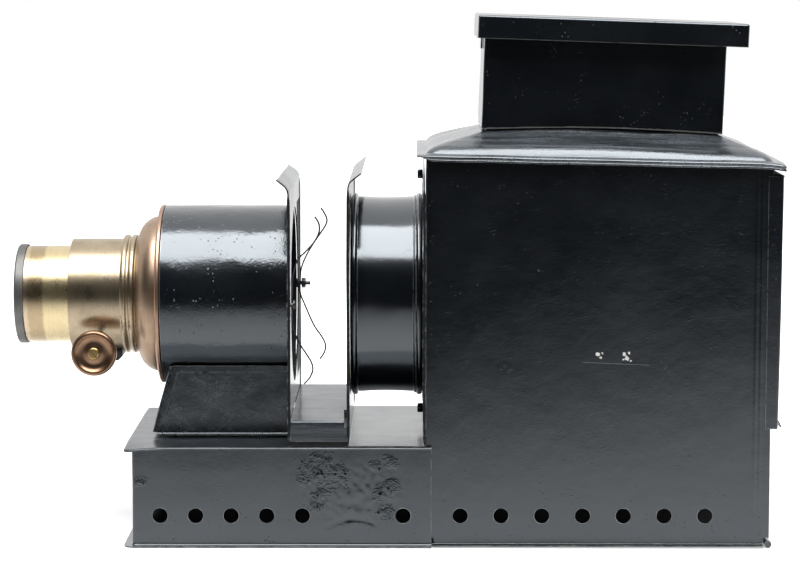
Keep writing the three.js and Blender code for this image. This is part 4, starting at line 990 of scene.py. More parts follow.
def metal(name, bright, dull, rough, brushed=None, tarnish=0.5, wear_tint=(0.9, 0.75, 0.45, 1)):
    """Turned or drawn metal: fine tool lines round its axis, uneven tarnish and rubbed edges."""
    material, tree, shader = node_tree(name)
    place = put(tree, "TexCoord").outputs["Object"]
    normal = None
    patchy = cloud(tree, place, 13, 4.0, 0.62)
    roughness = spread(tree, patchy, 0.3, 0.7, rough[0], rough[1])
    colour = tint(tree, combined(tree, spread(tree, patchy, 0.42, 0.72), tarnish), bright, dull)
    spotted = spread(tree, cloud(tree, place, 1.7, 3.0, 0.7), 0.62, 0.74)
    colour = tint(tree, combined(tree, spotted, tarnish * 0.8), colour, dull)
    if brushed is not None:
        stretched = put(tree, "VectorMath", {"operation": "MULTIPLY"}, _0=place, _1=brushed).outputs[0]
        lines = put(tree, "TexNoise", Vector=stretched, Scale=1.0, Detail=3.0, Roughness=0.75).outputs[0]
        normal = bumped(tree, lines, 0.012)
        colour = tint(tree, spread(tree, lines, 0.35, 0.8, 0.0, 0.55 * tarnish), colour, dull)
    normal = bumped(tree, cloud(tree, place, 0.9, 2.0), 0.008, normal)
    rubbed = combined(tree, edge_wear(tree, 0.5), spread(tree, cloud(tree, place, 4, 3.0), 0.35, 0.6))
    colour = tint(tree, combined(tree, rubbed, 0.6), colour, wear_tint)
    set_inputs(tree, shader, {
        "Base Color": colour,
        "Metallic": 1.0,
        "Roughness": roughness,
        "Normal": normal,
    })
    return material


ROUND_X = (2600, 12, 12)
inner_brass = metal("inner_brass", (0.62, 0.43, 0.18, 1), (0.30, 0.19, 0.08, 1), (0.26, 0.42), ROUND_X)


def clear_glass(name):
    """Old ground and polished glass, with a trace of green, faint dust and a few fine sleeks."""
    material, tree, shader = node_tree(name)
    place = put(tree, "TexCoord").outputs["Object"]
    dust = spread(tree, cloud(tree, place, 0.8, 3.0, 0.7), 0.6, 0.75)
    set_inputs(tree, shader, {
        "Base Color": tint(tree, dust, (0.96, 0.99, 0.975, 1), (0.86, 0.89, 0.87, 1)),
        "Roughness": spread(tree, dust, 0, 1, 0.01, 0.12),
        "IOR": 1.52,
        "Transmission Weight": 1.0,
        "Normal": bumped(tree, cloud(tree, place, 7, 2.0), 0.002),
    })
    return material


lens_glass = clear_glass("lens_glass")
seat_r, bore_r, light_r = 57.4, 51.1, 48.5
lens_r, lens_edge, lens_crown = 50.75, 3.0, 12.45
cell = turned("condenser_cell_brass", eased([
    (131.7, light_r), (131.7, seat_r), (132.9, seat_r), (132.9, bore_r + TIN), (170.9, bore_r + TIN),
    (170.9, seat_r), (172.1, seat_r), (172.1, bore_r), (132.9, bore_r), (132.9, light_r)], 0.3))
cell.data.materials.append(inner_brass)
fit(cell, "root", "inner_brass", "condenser_cell")


def dome_height(r, radius, crown):
    """Height of a ball-shaped face over its edge."""
    curve = (radius * radius + crown * crown) / (2 * crown)
    return math.sqrt(curve * curve - r * r) - (curve - crown)


def half_lens(name, node, flat, way):
    """A plano-convex lens with its flat face at `flat`, curved towards `way`."""
    rings = [lens_r * i / 24 for i in range(24, -1, -1)]
    face = [(flat + way * (lens_edge + dome_height(r, lens_r, lens_crown)), r) for r in rings]
    rim = [(flat, 0.0), (flat, lens_r - 0.3), (flat + way * 0.3, lens_r)]
    lens_piece = turned(name, rim + face, sharp=25)
    lens_piece.data.materials.append(lens_glass)
    return fit(lens_piece, "root", "clear_glass", node)


half_lens("condenser_lens_front_glass", "condenser_lens_front", 133.2, 1)
half_lens("condenser_lens_back_glass", "condenser_lens_back", 170.2, -1)

for node in ("condenser_spacer", "condenser_retainer"):
    low, high = (corner.x / MM - front_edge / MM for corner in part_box(node))
    inner = 50.0 if node == "condenser_spacer" else light_r
    ring = turned(node + "_brass", eased([(low, inner), (low, lens_r), (high, lens_r), (high, inner)], 0.2))
    ring.data.materials.append(inner_brass)
    fit(ring, "root", "inner_brass", node)


# ---------------------------------------------------------------- slide rest
# A shelf of tinplate with its long edges turned down, japanned and rubbed on top, on which a slide or its
# carrier stands. A small black tab is soldered on its near back corner.

rest_front, rest_back, rest_half, rest_top, rest_rim = 96.7, 129.3, 74, 73.9, 61.9
rest_line = FoldedLine([(-rest_half, rest_rim), (-rest_half, rest_top), (rest_half, rest_top),
                        (rest_half, rest_rim)], 1.3)


def bend_rest(u, v, depth):
    """Where a point of the shelf ends up, with the dips that slides have worn in it."""
    (py, pz), (ny, nz) = rest_line.at(v)
    dip = ripple(u, py, 2, 0.3, 26) * held((rest_half - 2 - abs(py)) / 8)
    return u, py - ny * depth, pz - nz * depth - abs(dip)


rest = blank("slide_rest_tin", oblong(rest_front, rest_back, rest_line.length), [],
             every(rest_front, rest_back, 3), rest_line.stations(4), bend_rest)
rest.data.materials.append(top_japan)
fit(rest, "root", "japanned_tin", "slide_rest")

tab = eased_copy("rest_tab", "rest_tab_tin", 0.35)
tab.data.materials.append(sheet_japan)
fit(tab, "root", "japanned_tin", "rest_tab")


# ---------------------------------------------------------------- front stage
# The lens side of the slide stage: an upright sheet with the tube's opening in it, its foot on the base
# plate and its head curled back into a stiff edge whose rim is rubbed bright.

stage_x, stage_top = 96.4, 204.5
stage_head = curled_head(stage_x, stage_top, 7.6, 51, 4.8, -1)
stage_line = FoldedLine(stage_head + [(stage_x, upright_foot)], 1.0)


def bend_stage(u, v, depth):
    """Where a point of the stage's front sheet ends up: u runs across and v down from the curl."""
    (px, pz), (nx, nz) = stage_line.at(v)
    loose = held((pz - 74) / 30) * max(0.0, abs(u) - 58) / 17
    give = ripple(u, pz, 7, 0.3, 40) * loose - 0.5 * loose * max(0.0, (pz - 195) / 18) ** 2
    sag = 1.4 * max(0.0, (pz - 206) / 8) * max(0.0, u / cradle_half)
    edge = folded_edge(u, pz, stage_top - 0.5, depth)
    return px + give - abs(nx) * depth - edge, u, pz - abs(nz) * depth - sag


stage_eye = path_length(stage_head) + stage_top - AXIS_Z
stage_holes = [circle(0, stage_eye, 52.2, 96)] + [circle(y, stage_eye, 1.4, 12) for y in (-59, 59)]
stage = blank("front_stage_tin", oblong(-cradle_half, cradle_half, stage_line.length), stage_holes,
              sorted(upright_us), stage_line.stations(4), bend_stage)
stage.data.materials.append(sheet_japan)
blackened(stage, lambda x, y, z: z > upright_foot + 2
          and (abs(y) > fold_start + 0.1 or y > 30 and abs(z - AXIS_Z) < 54))
fit(stage, "root", "japanned_tin", "front_stage")


# ---------------------------------------------------------------- slide springs
# Two bowed steel wires that press a slide against the condenser's cradle. Each arm is bent to its own
# curve by hand and ends in a small hook. The near one is held by a screw, the far one by a screw and nut.

wire_steel = metal("wire_steel", (0.20, 0.20, 0.205, 1), (0.06, 0.055, 0.05, 1), (0.28, 0.45),
                   tarnish=0.9, wear_tint=(0.45, 0.45, 0.44, 1))


def smooth_path(points, between=8):
    """Points in metres along a smooth curve through the given ones."""
    found = []
    for i in range(len(points) - 1):
        p = [Vector(points[max(0, min(len(points) - 1, i + k))]) for k in (-1, 0, 1, 2)]
        for k in range(between):
            t = k / between
            spot = 0.5 * (2 * p[1] + (p[2] - p[0]) * t + (2 * p[0] - 5 * p[1] + 4 * p[2] - p[3]) * t ** 2
                          + (3 * p[1] - p[0] - 3 * p[2] + p[3]) * t ** 3)
            found.append(at(*spot))
    return found + [at(*points[-1])]


def bowed_wire(name, node, y, places):
    """A wire of 1 mm through (x, z) places at one depth."""
    round_wire = [(0.5 * math.cos(math.pi * i / 6), 0.5 * math.sin(math.pi * i / 6)) for i in range(12)]
    piece = swept(name, smooth_path([(x, y, z) for x, z in places]), round_wire)
    piece.data.materials.append(wire_steel)
    return fit(piece, "root", "dark_steel", node)


bowed_wire("spring_near_wire", "spring_near", -57, (
    (110.5, 190.7), (112.5, 187.6), (113.2, 184.6), (112.7, 180.8), (110, 175.8), (105.1, 170.3),
    (100.6, 165.6), (98.1, 158), (97.3, 150), (97.2, 139.5), (97.2, 130), (98.7, 123), (101.6, 116.6),
    (105.3, 110.8), (108.2, 106), (109.1, 101.4), (107.3, 96.8), (104.1, 93.2)))
bowed_wire("spring_far_wire", "spring_far", 57, (
    (110.2, 186.4), (112.3, 183.2), (113.9, 179.3), (113.1, 175.7), (109.8, 170.6), (105.7, 164.6),
    (100.9, 156.4), (97.9, 148.6), (97.2, 141), (97.2, 133.6), (99.9, 126.4), (105.5, 113.6),
    (110.8, 105.6), (112.8, 100.8), (112.1, 96.4), (109.3, 92)))


def slotted_head(name, node, x, way, radius, thick, shank_to):
    """A screw along X with a domed, slotted head against `x`."""
    profile = [(x, 0.0), (x, radius), (x + way * thick * 0.45, radius), (x + way * thick * 0.8, radius * 0.8),
               (x + way * thick, radius * 0.4), (x + way * thick, 0.0)]
    y = sum(corner.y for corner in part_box(node)) / 2 / MM
    head = turned(name + "_head", eased(profile, 0.2), centre=(y, AXIS_Z), sides=48)
    low, high = sorted((x, shank_to))
    rod = [(low, 0.0), (low + 0.01, 1.0), (low + 0.3, 1.2), (high - 0.3, 1.2), (high, 1.0), (high, 0.0)]
    shank = turned(name + "_shank", rod, centre=(y, AXIS_Z), sides=32)
    piece = joined(name, head, shank)
    piece.data.materials.append(wire_steel)
    return fit(piece, "root", "dark_steel", node)


slotted_head("spring_screw_near_steel", "spring_screw_near", 98.0, 1, 2.8, 1.6, 94.1)
slotted_head("spring_screw_far_steel", "spring_screw_far", 95.3, -1, 2.8, 1.6, 103.5)
nut = eased_copy("spring_nut_far", "spring_nut_far_steel", 0.35)
nut.data.materials.append(wire_steel)
fit(nut, "root", "dark_steel", "spring_nut_far")


# ---------------------------------------------------------------- front tube
# A tinplate tube soldered up along its foot and japanned, whose paint has set in a coarse speckle. Its
# wall has been handled out of true, so its highlight wanders.

tube_japan = japanned("tube_japan", grain=2.4, coat=0.6, rough=(0.16, 0.24), wear=1.0, specks=1.2)
tube_front, tube_back, tube_r = 19.7, 95.3, 53
tube_xs = [tube_front] + every(tube_front + 0.7, tube_back - 0.6, 2.5) + [tube_back]
tube_out = [(x, tube_r) for x in tube_xs]
tube_in = [(x, tube_r - TIN) for x in reversed(tube_xs)]


def handled(x, angle):
    """How far the tube's wall is out of true, which is less towards its ends."""
    return 0.28 * min(1, (x - 19.5) / 9, (95.5 - x) / 9) * out_of_round(x, angle, 26, 2.4)


front_tube = turned("front_tube_tin", tube_out + tube_in, sides=200, uneven=handled)
front_tube.data.materials.append(tube_japan)
blackened(front_tube, lambda x, y, z: math.hypot(y, z - AXIS_Z) < tube_r - TIN / 2)
fit(front_tube, "root", "japanned_tin", "front_tube")


# ---------------------------------------------------------------- pedestal
# A stand of tinplate folded round three sides under the front tube. Its front leans back, its top is cut to
# the tube and soldered, and its sides are turned out at the foot. Black japan, rubbed on the front corners.

ped_half, ped_front, ped_back, ped_foot, ped_top = 37.3, 14.1, 95.3, 59.05, 104
ped_lean = 10.5 / 38.64
solder_r, band_wide, corner_wide = 53.5, 4.2, 5.5
ped_plan = FoldedLine([(ped_back, -ped_half), (ped_front, -ped_half), (ped_front, ped_half),
                       (ped_back, ped_half)], 1.6)
ped_rise = FoldedLine([(2.6, ped_foot + TIN), (0, ped_foot + TIN), (0, ped_top)], 1.8)
ped_turn = ped_back - ped_front


def ped_head(u):
    """How high the blank reaches at u, where the tube rests on it."""
    y = min(ped_half, abs(ped_plan.at(u)[0].y))
    return ped_rise.length - ped_top + AXIS_Z - math.sqrt(solder_r ** 2 - y * y)


def ped_point(u, v, depth):
    """Where a point of the pedestal ends up: u runs round its three sides and v up."""
    (px, py), (nx, ny) = ped_plan.at(u)
    (out, z), (no, nz) = ped_rise.at(v)
    band = max(held((v - ped_head(0) + band_wide) / 0.5), held((u - ped_turn + corner_wide) / 0.5))
    strip = 0.5 * band if abs(py) > 36 else 0
    push = out - no * depth + ripple(px, py, z, 0.25, 26) * held((v - 5) / 9) + strip
    share = (ped_back - px) / (ped_back - ped_front)
    shift = ped_lean * (z - ped_foot) * share
    if abs(ny) > 0.7:
        return px + shift, py + ny * push, z - nz * depth
    return px + nx * push + shift, py + ny * push, z - nz * depth


foot_end, foot_gap = ped_turn - 2.5, 3.4
ped_loop = [(0, 0), (foot_end, 0), (foot_end, foot_gap), (ped_plan.length - foot_end, foot_gap),
            (ped_plan.length - foot_end, 0), (ped_plan.length, 0)]
ped_loop += [(u, ped_head(u)) for u in reversed(ped_plan.stations(2.4))]
ped_us = ped_plan.stations(3) + [ped_turn - corner_wide, ped_turn - corner_wide + 0.5]
ped_vs = ped_rise.stations(3) + [ped_head(0) - band_wide, ped_head(0) - band_wide + 0.5]
pedestal = blank("pedestal_tin", ped_loop, [], sorted(ped_us), sorted(ped_vs), ped_point)
# Its pale bluish haze is partly dust and partly a painted sheen.
pedestal.data.materials.append(japanned("pedestal_japan", grain=1.6, rough=(0.22, 0.3), wear=1.2, specks=2.0,
                                        haze=0.42, run=170))
fit(pedestal, "root", "japanned_tin", "pedestal")


# ---------------------------------------------------------------- lens flange and bell
# The flange is a copper-coloured brass ring that closes the front tube. The bell is spun from the same
# brass, from the flange's rim to the jacket's collar. Both have browned with age and show turning lines.

SPUN_X = (2100, 14, 14)
rim_copper = metal("rim_copper", (0.52, 0.34, 0.25, 1), (0.3, 0.18, 0.12, 1), (0.3, 0.4), SPUN_X,
                   tarnish=0.6, wear_tint=(0.7, 0.5, 0.38, 1))
bell_brass = metal("bell_brass", (0.46, 0.335, 0.24, 1), (0.27, 0.185, 0.125, 1), (0.32, 0.42), SPUN_X,
                   tarnish=0.6, wear_tint=(0.62, 0.5, 0.36, 1))
rim = turned("lens_flange_copper", eased([
    (16.5, 44), (16.5, 52.3), (17.4, 53.3), (18.9, 53.3), (19.3, 52.6), (19.3, 51.9),
    (24.3, 51.9), (24.3, 50.7), (17.9, 50.7), (17.9, 44)], 0.35), sides=200)
rim.data.materials.append(rim_copper)
fit(rim, "root", "copper_brown_brass", "lens_flange")

bell_outer = []
for i in range(33):
    angle = math.pi / 2 * i / 32
    bell_outer.append((16.2 - 12.1 * math.cos(angle), 36.5 + 10 * math.sin(angle) ** 1.3))
bell_inner = [(min(16.2, x + 1.2), r - 1.2) for x, r in reversed(bell_outer)]
bell = turned("bell_copper", [(4.1, 33.3)] + bell_outer + bell_inner + [(5.3, 33.3)], sides=200)
bell.data.materials.append(bell_brass)
fit(bell, "root", "copper_brown_brass", "bell")


# ---------------------------------------------------------------- jacket
# The outer brass tube that the lens slides in, with a turned collar of two beads where it butts on the
# bell. Drawn brass, lacquered long ago, with an olive tarnish and bright scratches round it.

def opened(piece, *cutters):
    """Cuts the space of the cutters out of a piece."""
    for cutter in cutters:
        change = piece.modifiers.new("cut", "BOOLEAN")
        change.operation, change.object, change.solver = "DIFFERENCE", cutter, "EXACT"
        bpy.context.view_layer.update()
        solid = bpy.data.meshes.new_from_object(piece.evaluated_get(bpy.context.evaluated_depsgraph_get()))
        piece.modifiers.clear()
        old = piece.data
        piece.data = solid
        solid.name = old.name + "_cut"
        bpy.data.meshes.remove(old)
        bpy.data.objects.remove(cutter)
    return smoothed(piece)


def slab(name, x0, x1, y0, y1, z0, z1):
    """A plain block, to cut with."""
    points = [at(x, y, z) for x in (x0, x1) for y in (y0, y1) for z in (z0, z1)]
    faces = [(0, 1, 3, 2), (4, 6, 7, 5), (0, 4, 5, 1), (2, 3, 7, 6), (0, 2, 6, 4), (1, 5, 7, 3)]
    return mesh_piece(name, points, faces)


aged_brass = metal("aged_brass", (0.53, 0.435, 0.31, 1), (0.29, 0.23, 0.145, 1), (0.25, 0.34), ROUND_X,
                   tarnish=0.55, wear_tint=(0.9, 0.82, 0.62, 1))
pinion_x, pinion_z, jacket_r, jacket_bore, guide_r, rack_gap = -20.2, 108.494, 33.0, 31.8, 29.0, 2.8
jacket_profile = [(-36.2, guide_r), (-36.2, jacket_r), (-5.2, jacket_r)]
for middle in (-3.6, 1.0):
    bead = rolled(middle, jacket_r + 1.3, 1.2, 8, 1.4)
    jacket_profile += [(middle - 1.9, jacket_r + 1.2)] + bead + [(middle + 1.9, jacket_r + 1.2)]
jacket_profile += [(3.8, jacket_r + 1), (3.8, jacket_r), (7.8, jacket_r), (7.8, guide_r), (5.3, guide_r),
                   (5.3, jacket_bore), (-33.2, jacket_bore), (-33.2, guide_r)]
jacket = turned("jacket_brass", eased(jacket_profile, 0.3), sides=200)
jacket = opened(jacket, slab("slot_cut", pinion_x - 5.1, pinion_x + 5.1, -9, 9, 90, 123),
                slab("rack_cut", -45, 12, -rack_gap, rack_gap, 110.2, AXIS_Z))
jacket.data.materials.append(aged_brass)
fit(jacket, "root", "aged_brass", "jacket")


# ---------------------------------------------------------------- pinion box
# The little housing under the jacket that carries the pinion's shaft, soldered on and gone dark.

dark_metal = metal("dark_metal", (0.075, 0.075, 0.08, 1), (0.03, 0.028, 0.026, 1), (0.34, 0.5),
                   tarnish=0.9, wear_tint=(0.3, 0.26, 0.2, 1))
housing = eased_copy("pinion_box", "pinion_box_metal", 0.5)
housing.data.materials.append(dark_metal)
fit(housing, "root", "dark_ring", "pinion_box")


# ---------------------------------------------------------------- lens tube
# The sliding brass tube, kept bright by handling, with a browner band of tarnish at the jacket's mouth.
# Its front lens sits behind a dark satin ring, and the lens at its back in a brass cell.

def banded_brass(name):
    """Yellow brass, bright at the front and brown where it has stood in the jacket's mouth."""
    material, tree, shader = node_tree(name)
    place = put(tree, "TexCoord").outputs["Object"]
    along = put(tree, "SeparateXYZ", Vector=place).outputs["X"]
    stretched = put(tree, "VectorMath", {"operation": "MULTIPLY"}, _0=place, _1=ROUND_X).outputs[0]
    lines = put(tree, "TexNoise", Vector=stretched, Scale=1.0, Detail=3.0, Roughness=0.75).outputs[0]
    patchy = cloud(tree, place, 9, 4.0, 0.6)
    edge = combined(tree, along, combined(tree, patchy, 0.003), "ADD")
    band_from, band_to = (front_edge + x * MM + 0.0015 for x in (-60.5, -51.5))
    past_front = spread(tree, edge, band_from - 0.0006, band_from + 0.0006)
    past_band = spread(tree, edge, band_to - 0.0008, band_to + 0.0008)
    colour = tint(tree, past_front, (0.66, 0.53, 0.38, 1), (0.50, 0.385, 0.24, 1))
    colour = tint(tree, past_band, colour, (0.80, 0.665, 0.40, 1))
    colour = tint(tree, combined(tree, spread(tree, patchy, 0.45, 0.75), 0.3), colour, (0.42, 0.32, 0.19, 1))
    colour = tint(tree, spread(tree, lines, 0.45, 0.8, 0.0, 0.3), colour, (0.44, 0.33, 0.17, 1))
    set_inputs(tree, shader, {
        "Base Color": colour, "Metallic": 1.0,
        "Roughness": spread(tree, patchy, 0.3, 0.7, 0.24, 0.33),
        "Normal": bumped(tree, cloud(tree, place, 0.8, 2.0), 0.006, bumped(tree, lines, 0.012)),
    })
    return material


lens_tube = turned("lens_tube_brass", eased([(-66.1, 27.4), (-66.1, 28.7), (16, 28.7), (16, 27.4)], 0.25),
                   sides=200)
lens_tube = opened(lens_tube, slab("tube_cut", pinion_x - 24.3, pinion_x + 24.3,
                                   -rack_gap, rack_gap, 100, AXIS_Z))
lens_tube.data.materials.append(banded_brass("yellow_brass"))
fit(lens_tube, "lens_barrel", "yellow_brass", "lens_tube")

satin_ring = metal("satin_ring", (0.2, 0.2, 0.195, 1), (0.12, 0.12, 0.115, 1), (0.42, 0.55), ROUND_X,
                   wear_tint=(0.42, 0.4, 0.36, 1))
front_ring = turned("front_ring_metal", eased([
    (-68.5, 24), (-68.5, 28.9), (-67.7, 29.7), (-63.6, 29.7), (-63.2, 29.5), (-63.2, 29.0),
    (-66.4, 29.0), (-66.4, 24)], 0.3), sides=200)
front_ring.data.materials.append(satin_ring)
fit(front_ring, "lens_barrel", "dark_ring", "front_ring")


def full_lens(name, node, front, back, radius, crown):
    """A lens curved on both sides between two rim planes."""
    rings = [radius * i / 20 for i in range(21)]
    face = [(dome_height(r, radius, crown), r) for r in rings]
    profile = [(front - sag, r) for sag, r in face] + [(back + sag, r) for sag, r in reversed(face)]
    lens_piece = turned(name, profile, sharp=25)
    lens_piece.data.materials.append(lens_glass)
    return fit(lens_piece, "lens_barrel", "clear_glass", node)


full_lens("front_lens_glass", "front_lens", -63.9, -59.4, 26.95, 2.15)
rear_cell = turned("rear_cell_brass", eased([
    (6, 21), (6, 27.1), (17, 27.1), (17, 23.3), (7.2, 23.3), (7.2, 21)], 0.3))
rear_cell.data.materials.append(inner_brass)
fit(rear_cell, "lens_barrel", "inner_brass", "rear_cell")
full_lens("rear_lens_glass", "rear_lens", 7.55, 10.45, 22.95, 1.7)


# ---------------------------------------------------------------- rack and pinion
# A brass rack is soldered in the tube's foot, and a small steel pinion on the knob's shaft drives it. The
# rack is milled and the pinion cut, so both keep their crisp teeth.

across_teeth = metal("cut_brass", (0.6, 0.43, 0.18, 1), (0.3, 0.2, 0.09, 1), (0.3, 0.45), (20, 1800, 20))
rack = eased_copy("rack", "rack_brass", 0.06)
rack.data.materials.append(across_teeth)
fit(rack, "lens_barrel", "inner_brass", "rack")
gear = eased_copy("pinion", "pinion_steel", 0.06)
gear.data.materials.append(wire_steel)
fit(gear, "pinion_shaft", "dark_steel", "pinion")


# ---------------------------------------------------------------- focus knob
# A thick disc turned from copper-coloured brass, dished on its face with a raised rim, browned by fingers.
# A cheese-headed brass screw, its slot cut at a slant, holds it on the shaft.

knob_copper = metal("knob_copper", (0.36, 0.22, 0.14, 1), (0.18, 0.1, 0.06, 1), (0.26, 0.38),
                    tarnish=0.7, wear_tint=(0.6, 0.42, 0.3, 1))
knob_in, knob_out, knob_r = -35.2, -41.2, 13.3
knob = turned("focus_knob_copper", eased([
    (knob_in, 1.7), (knob_in, knob_r - 1.2), (knob_in - 1.2, knob_r), (knob_out + 1, knob_r),
    (knob_out, knob_r - 1), (knob_out, knob_r - 2.4), (knob_out + 0.9, knob_r - 3.4), (knob_out + 1.6, 8.4),
    (knob_out + 1.8, 6.6), (knob_out + 1.6, 5.2), (knob_out + 1.2, 4.2), (knob_out + 1.2, 1.7)], 0.5),
    axis="y", centre=(pinion_x, pinion_z), sides=144)
knob.data.materials.append(knob_copper)
fit(knob, "pinion_shaft", "copper_brown_brass", "focus_knob")

screw_profile = [(-41.8, 0.0), (-41.8, 2.9), (-41.3, 3.5), (-40.3, 3.5), (-40.3, 0.0)]
screw = turned("knob_screw_head", eased(screw_profile, 0.25), axis="y", centre=(pinion_x, pinion_z), sides=64)
slot_cutter = slab("screw_cut", -9, 9, -43, -41.05, -0.42, 0.42)
to_screw = Matrix.Translation(at(pinion_x, 0, pinion_z)) @ Matrix.Rotation(math.radians(50), 4, "Y")
slot_cutter.data.transform(to_screw @ Matrix.Translation(-at(0, 0, 0)))
screw = opened(screw, slot_cutter)
screw.name = "knob_screw_brass"
screw.data.materials.append(inner_brass)
fit(screw, "pinion_shaft", "inner_brass", "knob_screw")


# ---------------------------------------------------------------- door
# A shallow pan of tinplate that closes the lamp's way in. Its rim is folded forward round four sides, its
# face stands off more at the head, and a lip is curled up along its foot to lift it by.

door_x, door_foot, door_top, door_half = 370.5, 69.0, 215.3, 71.1
foot_x, head_x = door_x + 7.4, door_x + 9.8
side_gap = 1.6


def door_face(z):
    """How far back the door's outer face stands at a height."""
    return foot_x + (head_x - foot_x) * (z - door_foot) / (door_top - door_foot)


def door_plan(face):
    """The rims and the face, seen from above."""
    return FoldedLine([(door_x, -door_half), (face, -door_half), (face, door_half), (door_x, door_half)], 1.5)


foot_plan = door_plan(foot_x)


def door_panel(u, v, depth):
    """The face with its two side rims: u runs round the plan and v up."""
    share = (v - door_foot) / (door_top - door_foot)
    around = door_plan(door_face(v))
    (px, py), (nx, ny) = around.at(u * around.length / foot_plan.length)
    fade = min(1.0, share / 0.1, (1 - share) / 0.1) * max(0.0, 1 - abs(py) / door_half)
    dent = ripple(px, py, v, 1.1, 60) * fade
    return px + nx * depth - abs(dent), py + ny * depth, v


pan_top = door_top - 0.1
pan_loop = [(0, door_foot), (foot_plan.length, door_foot), (foot_plan.length, pan_top), (0, pan_top)]
pan = blank("door_pan", pan_loop, [], foot_plan.stations(6), every(door_foot, pan_top, 6), door_panel)
head_front, head_back, head_half = 374.2, head_x - 0.7, door_half - side_gap


def door_head(u, v, depth):
    """The fold along the head, which stands 1.6 mm higher at its front edge."""
    return u, v, door_top - depth + 1.6 * (head_back - u) / (head_back - head_front)


head_loop = [(head_front, -head_half), (head_back, -head_half),
             (head_back, head_half), (head_front, head_half)]
head_strip = blank("door_head", head_loop, [], every(head_front, head_back, 2),
                   every(-head_half, head_half, 6), door_head)
lip_half = 67
lip_line = FoldedLine([(foot_x - 0.4, door_foot + 6.5), (foot_x + 1.3, door_foot + 3.4),
                       (foot_x + 2.2, door_foot + 1.6), (foot_x + 2.4, door_foot + 0.4)], 1.2)


def door_lip(u, v, depth):
    """Where a point of the finger lip ends up."""
    (px, pz), (nx, nz) = lip_line.at(v)
    return px - nx * depth * 0.9, u, pz - nz * depth * 0.9


lip = blank("door_lip", oblong(-lip_half, lip_half, lip_line.length), [], every(-lip_half, lip_half, 5),
            lip_line.stations(2), door_lip)
door = joined("door_tin", pan, head_strip, lip)
door.data.materials.append(stack_japan)
blackened(door, lambda x, y, z: z > door_top - 0.9 and x < head_back - 0.05)
fit(door, "lamp_door", "japanned_tin", "door")


# ---------------------------------------------------------------- hinges
# Two butt hinges on the far side, each a pair of rolled tinplate leaves, turning on one long wire pin.

for node, body in (("hinge_wall_lower", "root"), ("hinge_wall_upper", "root"),
                   ("hinge_door_lower", "lamp_door"), ("hinge_door_upper", "lamp_door")):
    leaf = eased_copy(node, node + "_tin", 0.2)
    leaf.data.materials.append(sheet_japan)
    fit(leaf, body, "japanned_tin", node)
pin = eased_copy("hinge_pin", "hinge_pin_wire", 0.2)
pin.data.materials.append(wire_steel)
fit(pin, "root", "dark_steel", "hinge_pin")


# ---------------------------------------------------------------- lamp tray and runners
# The lamp stands in a folded tin tray that slides on two runners soldered to the walls. Plain black japan,
# dulled by heat.

hot_japan = japanned("hot_japan", grain=1.2, coat=0.1, rough=(0.42, 0.6), wear=1.6, specks=1.4)
for node, body in (("runner_near", "root"), ("runner_far", "root"), ("lamp_tray", "oil_lamp")):
    part = eased_copy(node, node + "_tin", 0.25)
    part.data.materials.append(hot_japan)
    fit(part, body, "japanned_tin", node)


# ---------------------------------------------------------------- oil tank
# The lamp's reservoir is a closed tin box with round corners, japanned, and a milled brass cap screws into
# its filler.

tank = eased_copy("oil_tank", "oil_tank_tin", 0.8)
tank.data.materials.append(hot_japan)
fit(tank, "oil_lamp", "japanned_tin", "oil_tank")

filler = eased_copy("filler_cap", "filler_cap_brass", 0.35)
filler.data.materials.append(inner_brass)
fit(filler, "oil_lamp", "inner_brass", "filler_cap")


# ---------------------------------------------------------------- burner
# A pressed brass burner holds a flat woven cotton wick, which the winder's toothed wheel lifts and lowers.

burner = eased_copy("burner", "burner_brass", 0.3, 40)
burner.data.materials.append(inner_brass)
fit(burner, "oil_lamp", "inner_brass", "burner")
winder = eased_copy("wick_spindle", "wick_spindle_brass", 0.12)
winder.data.materials.append(across_teeth)
fit(winder, "wick_winder", "inner_brass", "wick_spindle")


def woven_cotton(name):
    """Flat plaited wick, charred at its top."""
    material, tree, shader = node_tree(name)
    place = put(tree, "TexCoord").outputs["Object"]
    ribs = put(tree, "TexWave", {"bands_direction": "Y"}, Vector=place,
               Scale=420.0, Distortion=1.4, Detail=2.0).outputs[1]
    picks = put(tree, "TexWave", {"bands_direction": "Z"}, Vector=place,
                Scale=520.0, Distortion=1.2, Detail=2.0).outputs[1]
    weave = combined(tree, ribs, picks)
    height = put(tree, "SeparateXYZ", Vector=place).outputs["Z"]
    burnt = combined(tree, height, combined(tree, cloud(tree, place, 3, 3.0), 0.004), "ADD")
    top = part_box("wick")[1].z
    char = spread(tree, burnt, top - 0.006, top - 0.001)
    colour = tint(tree, spread(tree, weave, 0.1, 0.9, 0.0, 0.5), (0.78, 0.72, 0.58, 1), (0.5, 0.43, 0.3, 1))
    colour = tint(tree, char, colour, (0.012, 0.01, 0.009, 1))
    set_inputs(tree, shader, {"Base Color": colour, "Roughness": spread(tree, weave, 0, 1, 0.95, 0.8),
                              "Normal": bumped(tree, weave, 0.25)})
    return material


wick = eased_copy("wick", "wick_cotton", 0.35)
wick.data.materials.append(woven_cotton("plaited_cotton"))
fit(wick, "wick_strip", "cotton_wick", "wick")


# ---------------------------------------------------------------- lamp glass and reflector
# A straight blown glass chimney stands in the burner's gallery. Behind it a silvered tin reflector, spun to
# a shallow dish, throws the light forward.

burner_x = 258
glass_out = ((100.8, 19.6), (112.8, 19.6), (136.8, 26.1), (158.8, 21.6), (178, 15.6), (200, 15.1))


def blown(points, between=8):
    """A smooth profile through the widths of a blown glass, never wider than its places."""
    found = []
    for (z0, r0), (z1, r1) in zip(points, points[1:]):
        for k in range(between):
            t = k / between
            found.append((z0 + (z1 - z0) * t, r0 + (r1 - r0) * (t * t * (3 - 2 * t))))
    return found + [points[-1]]


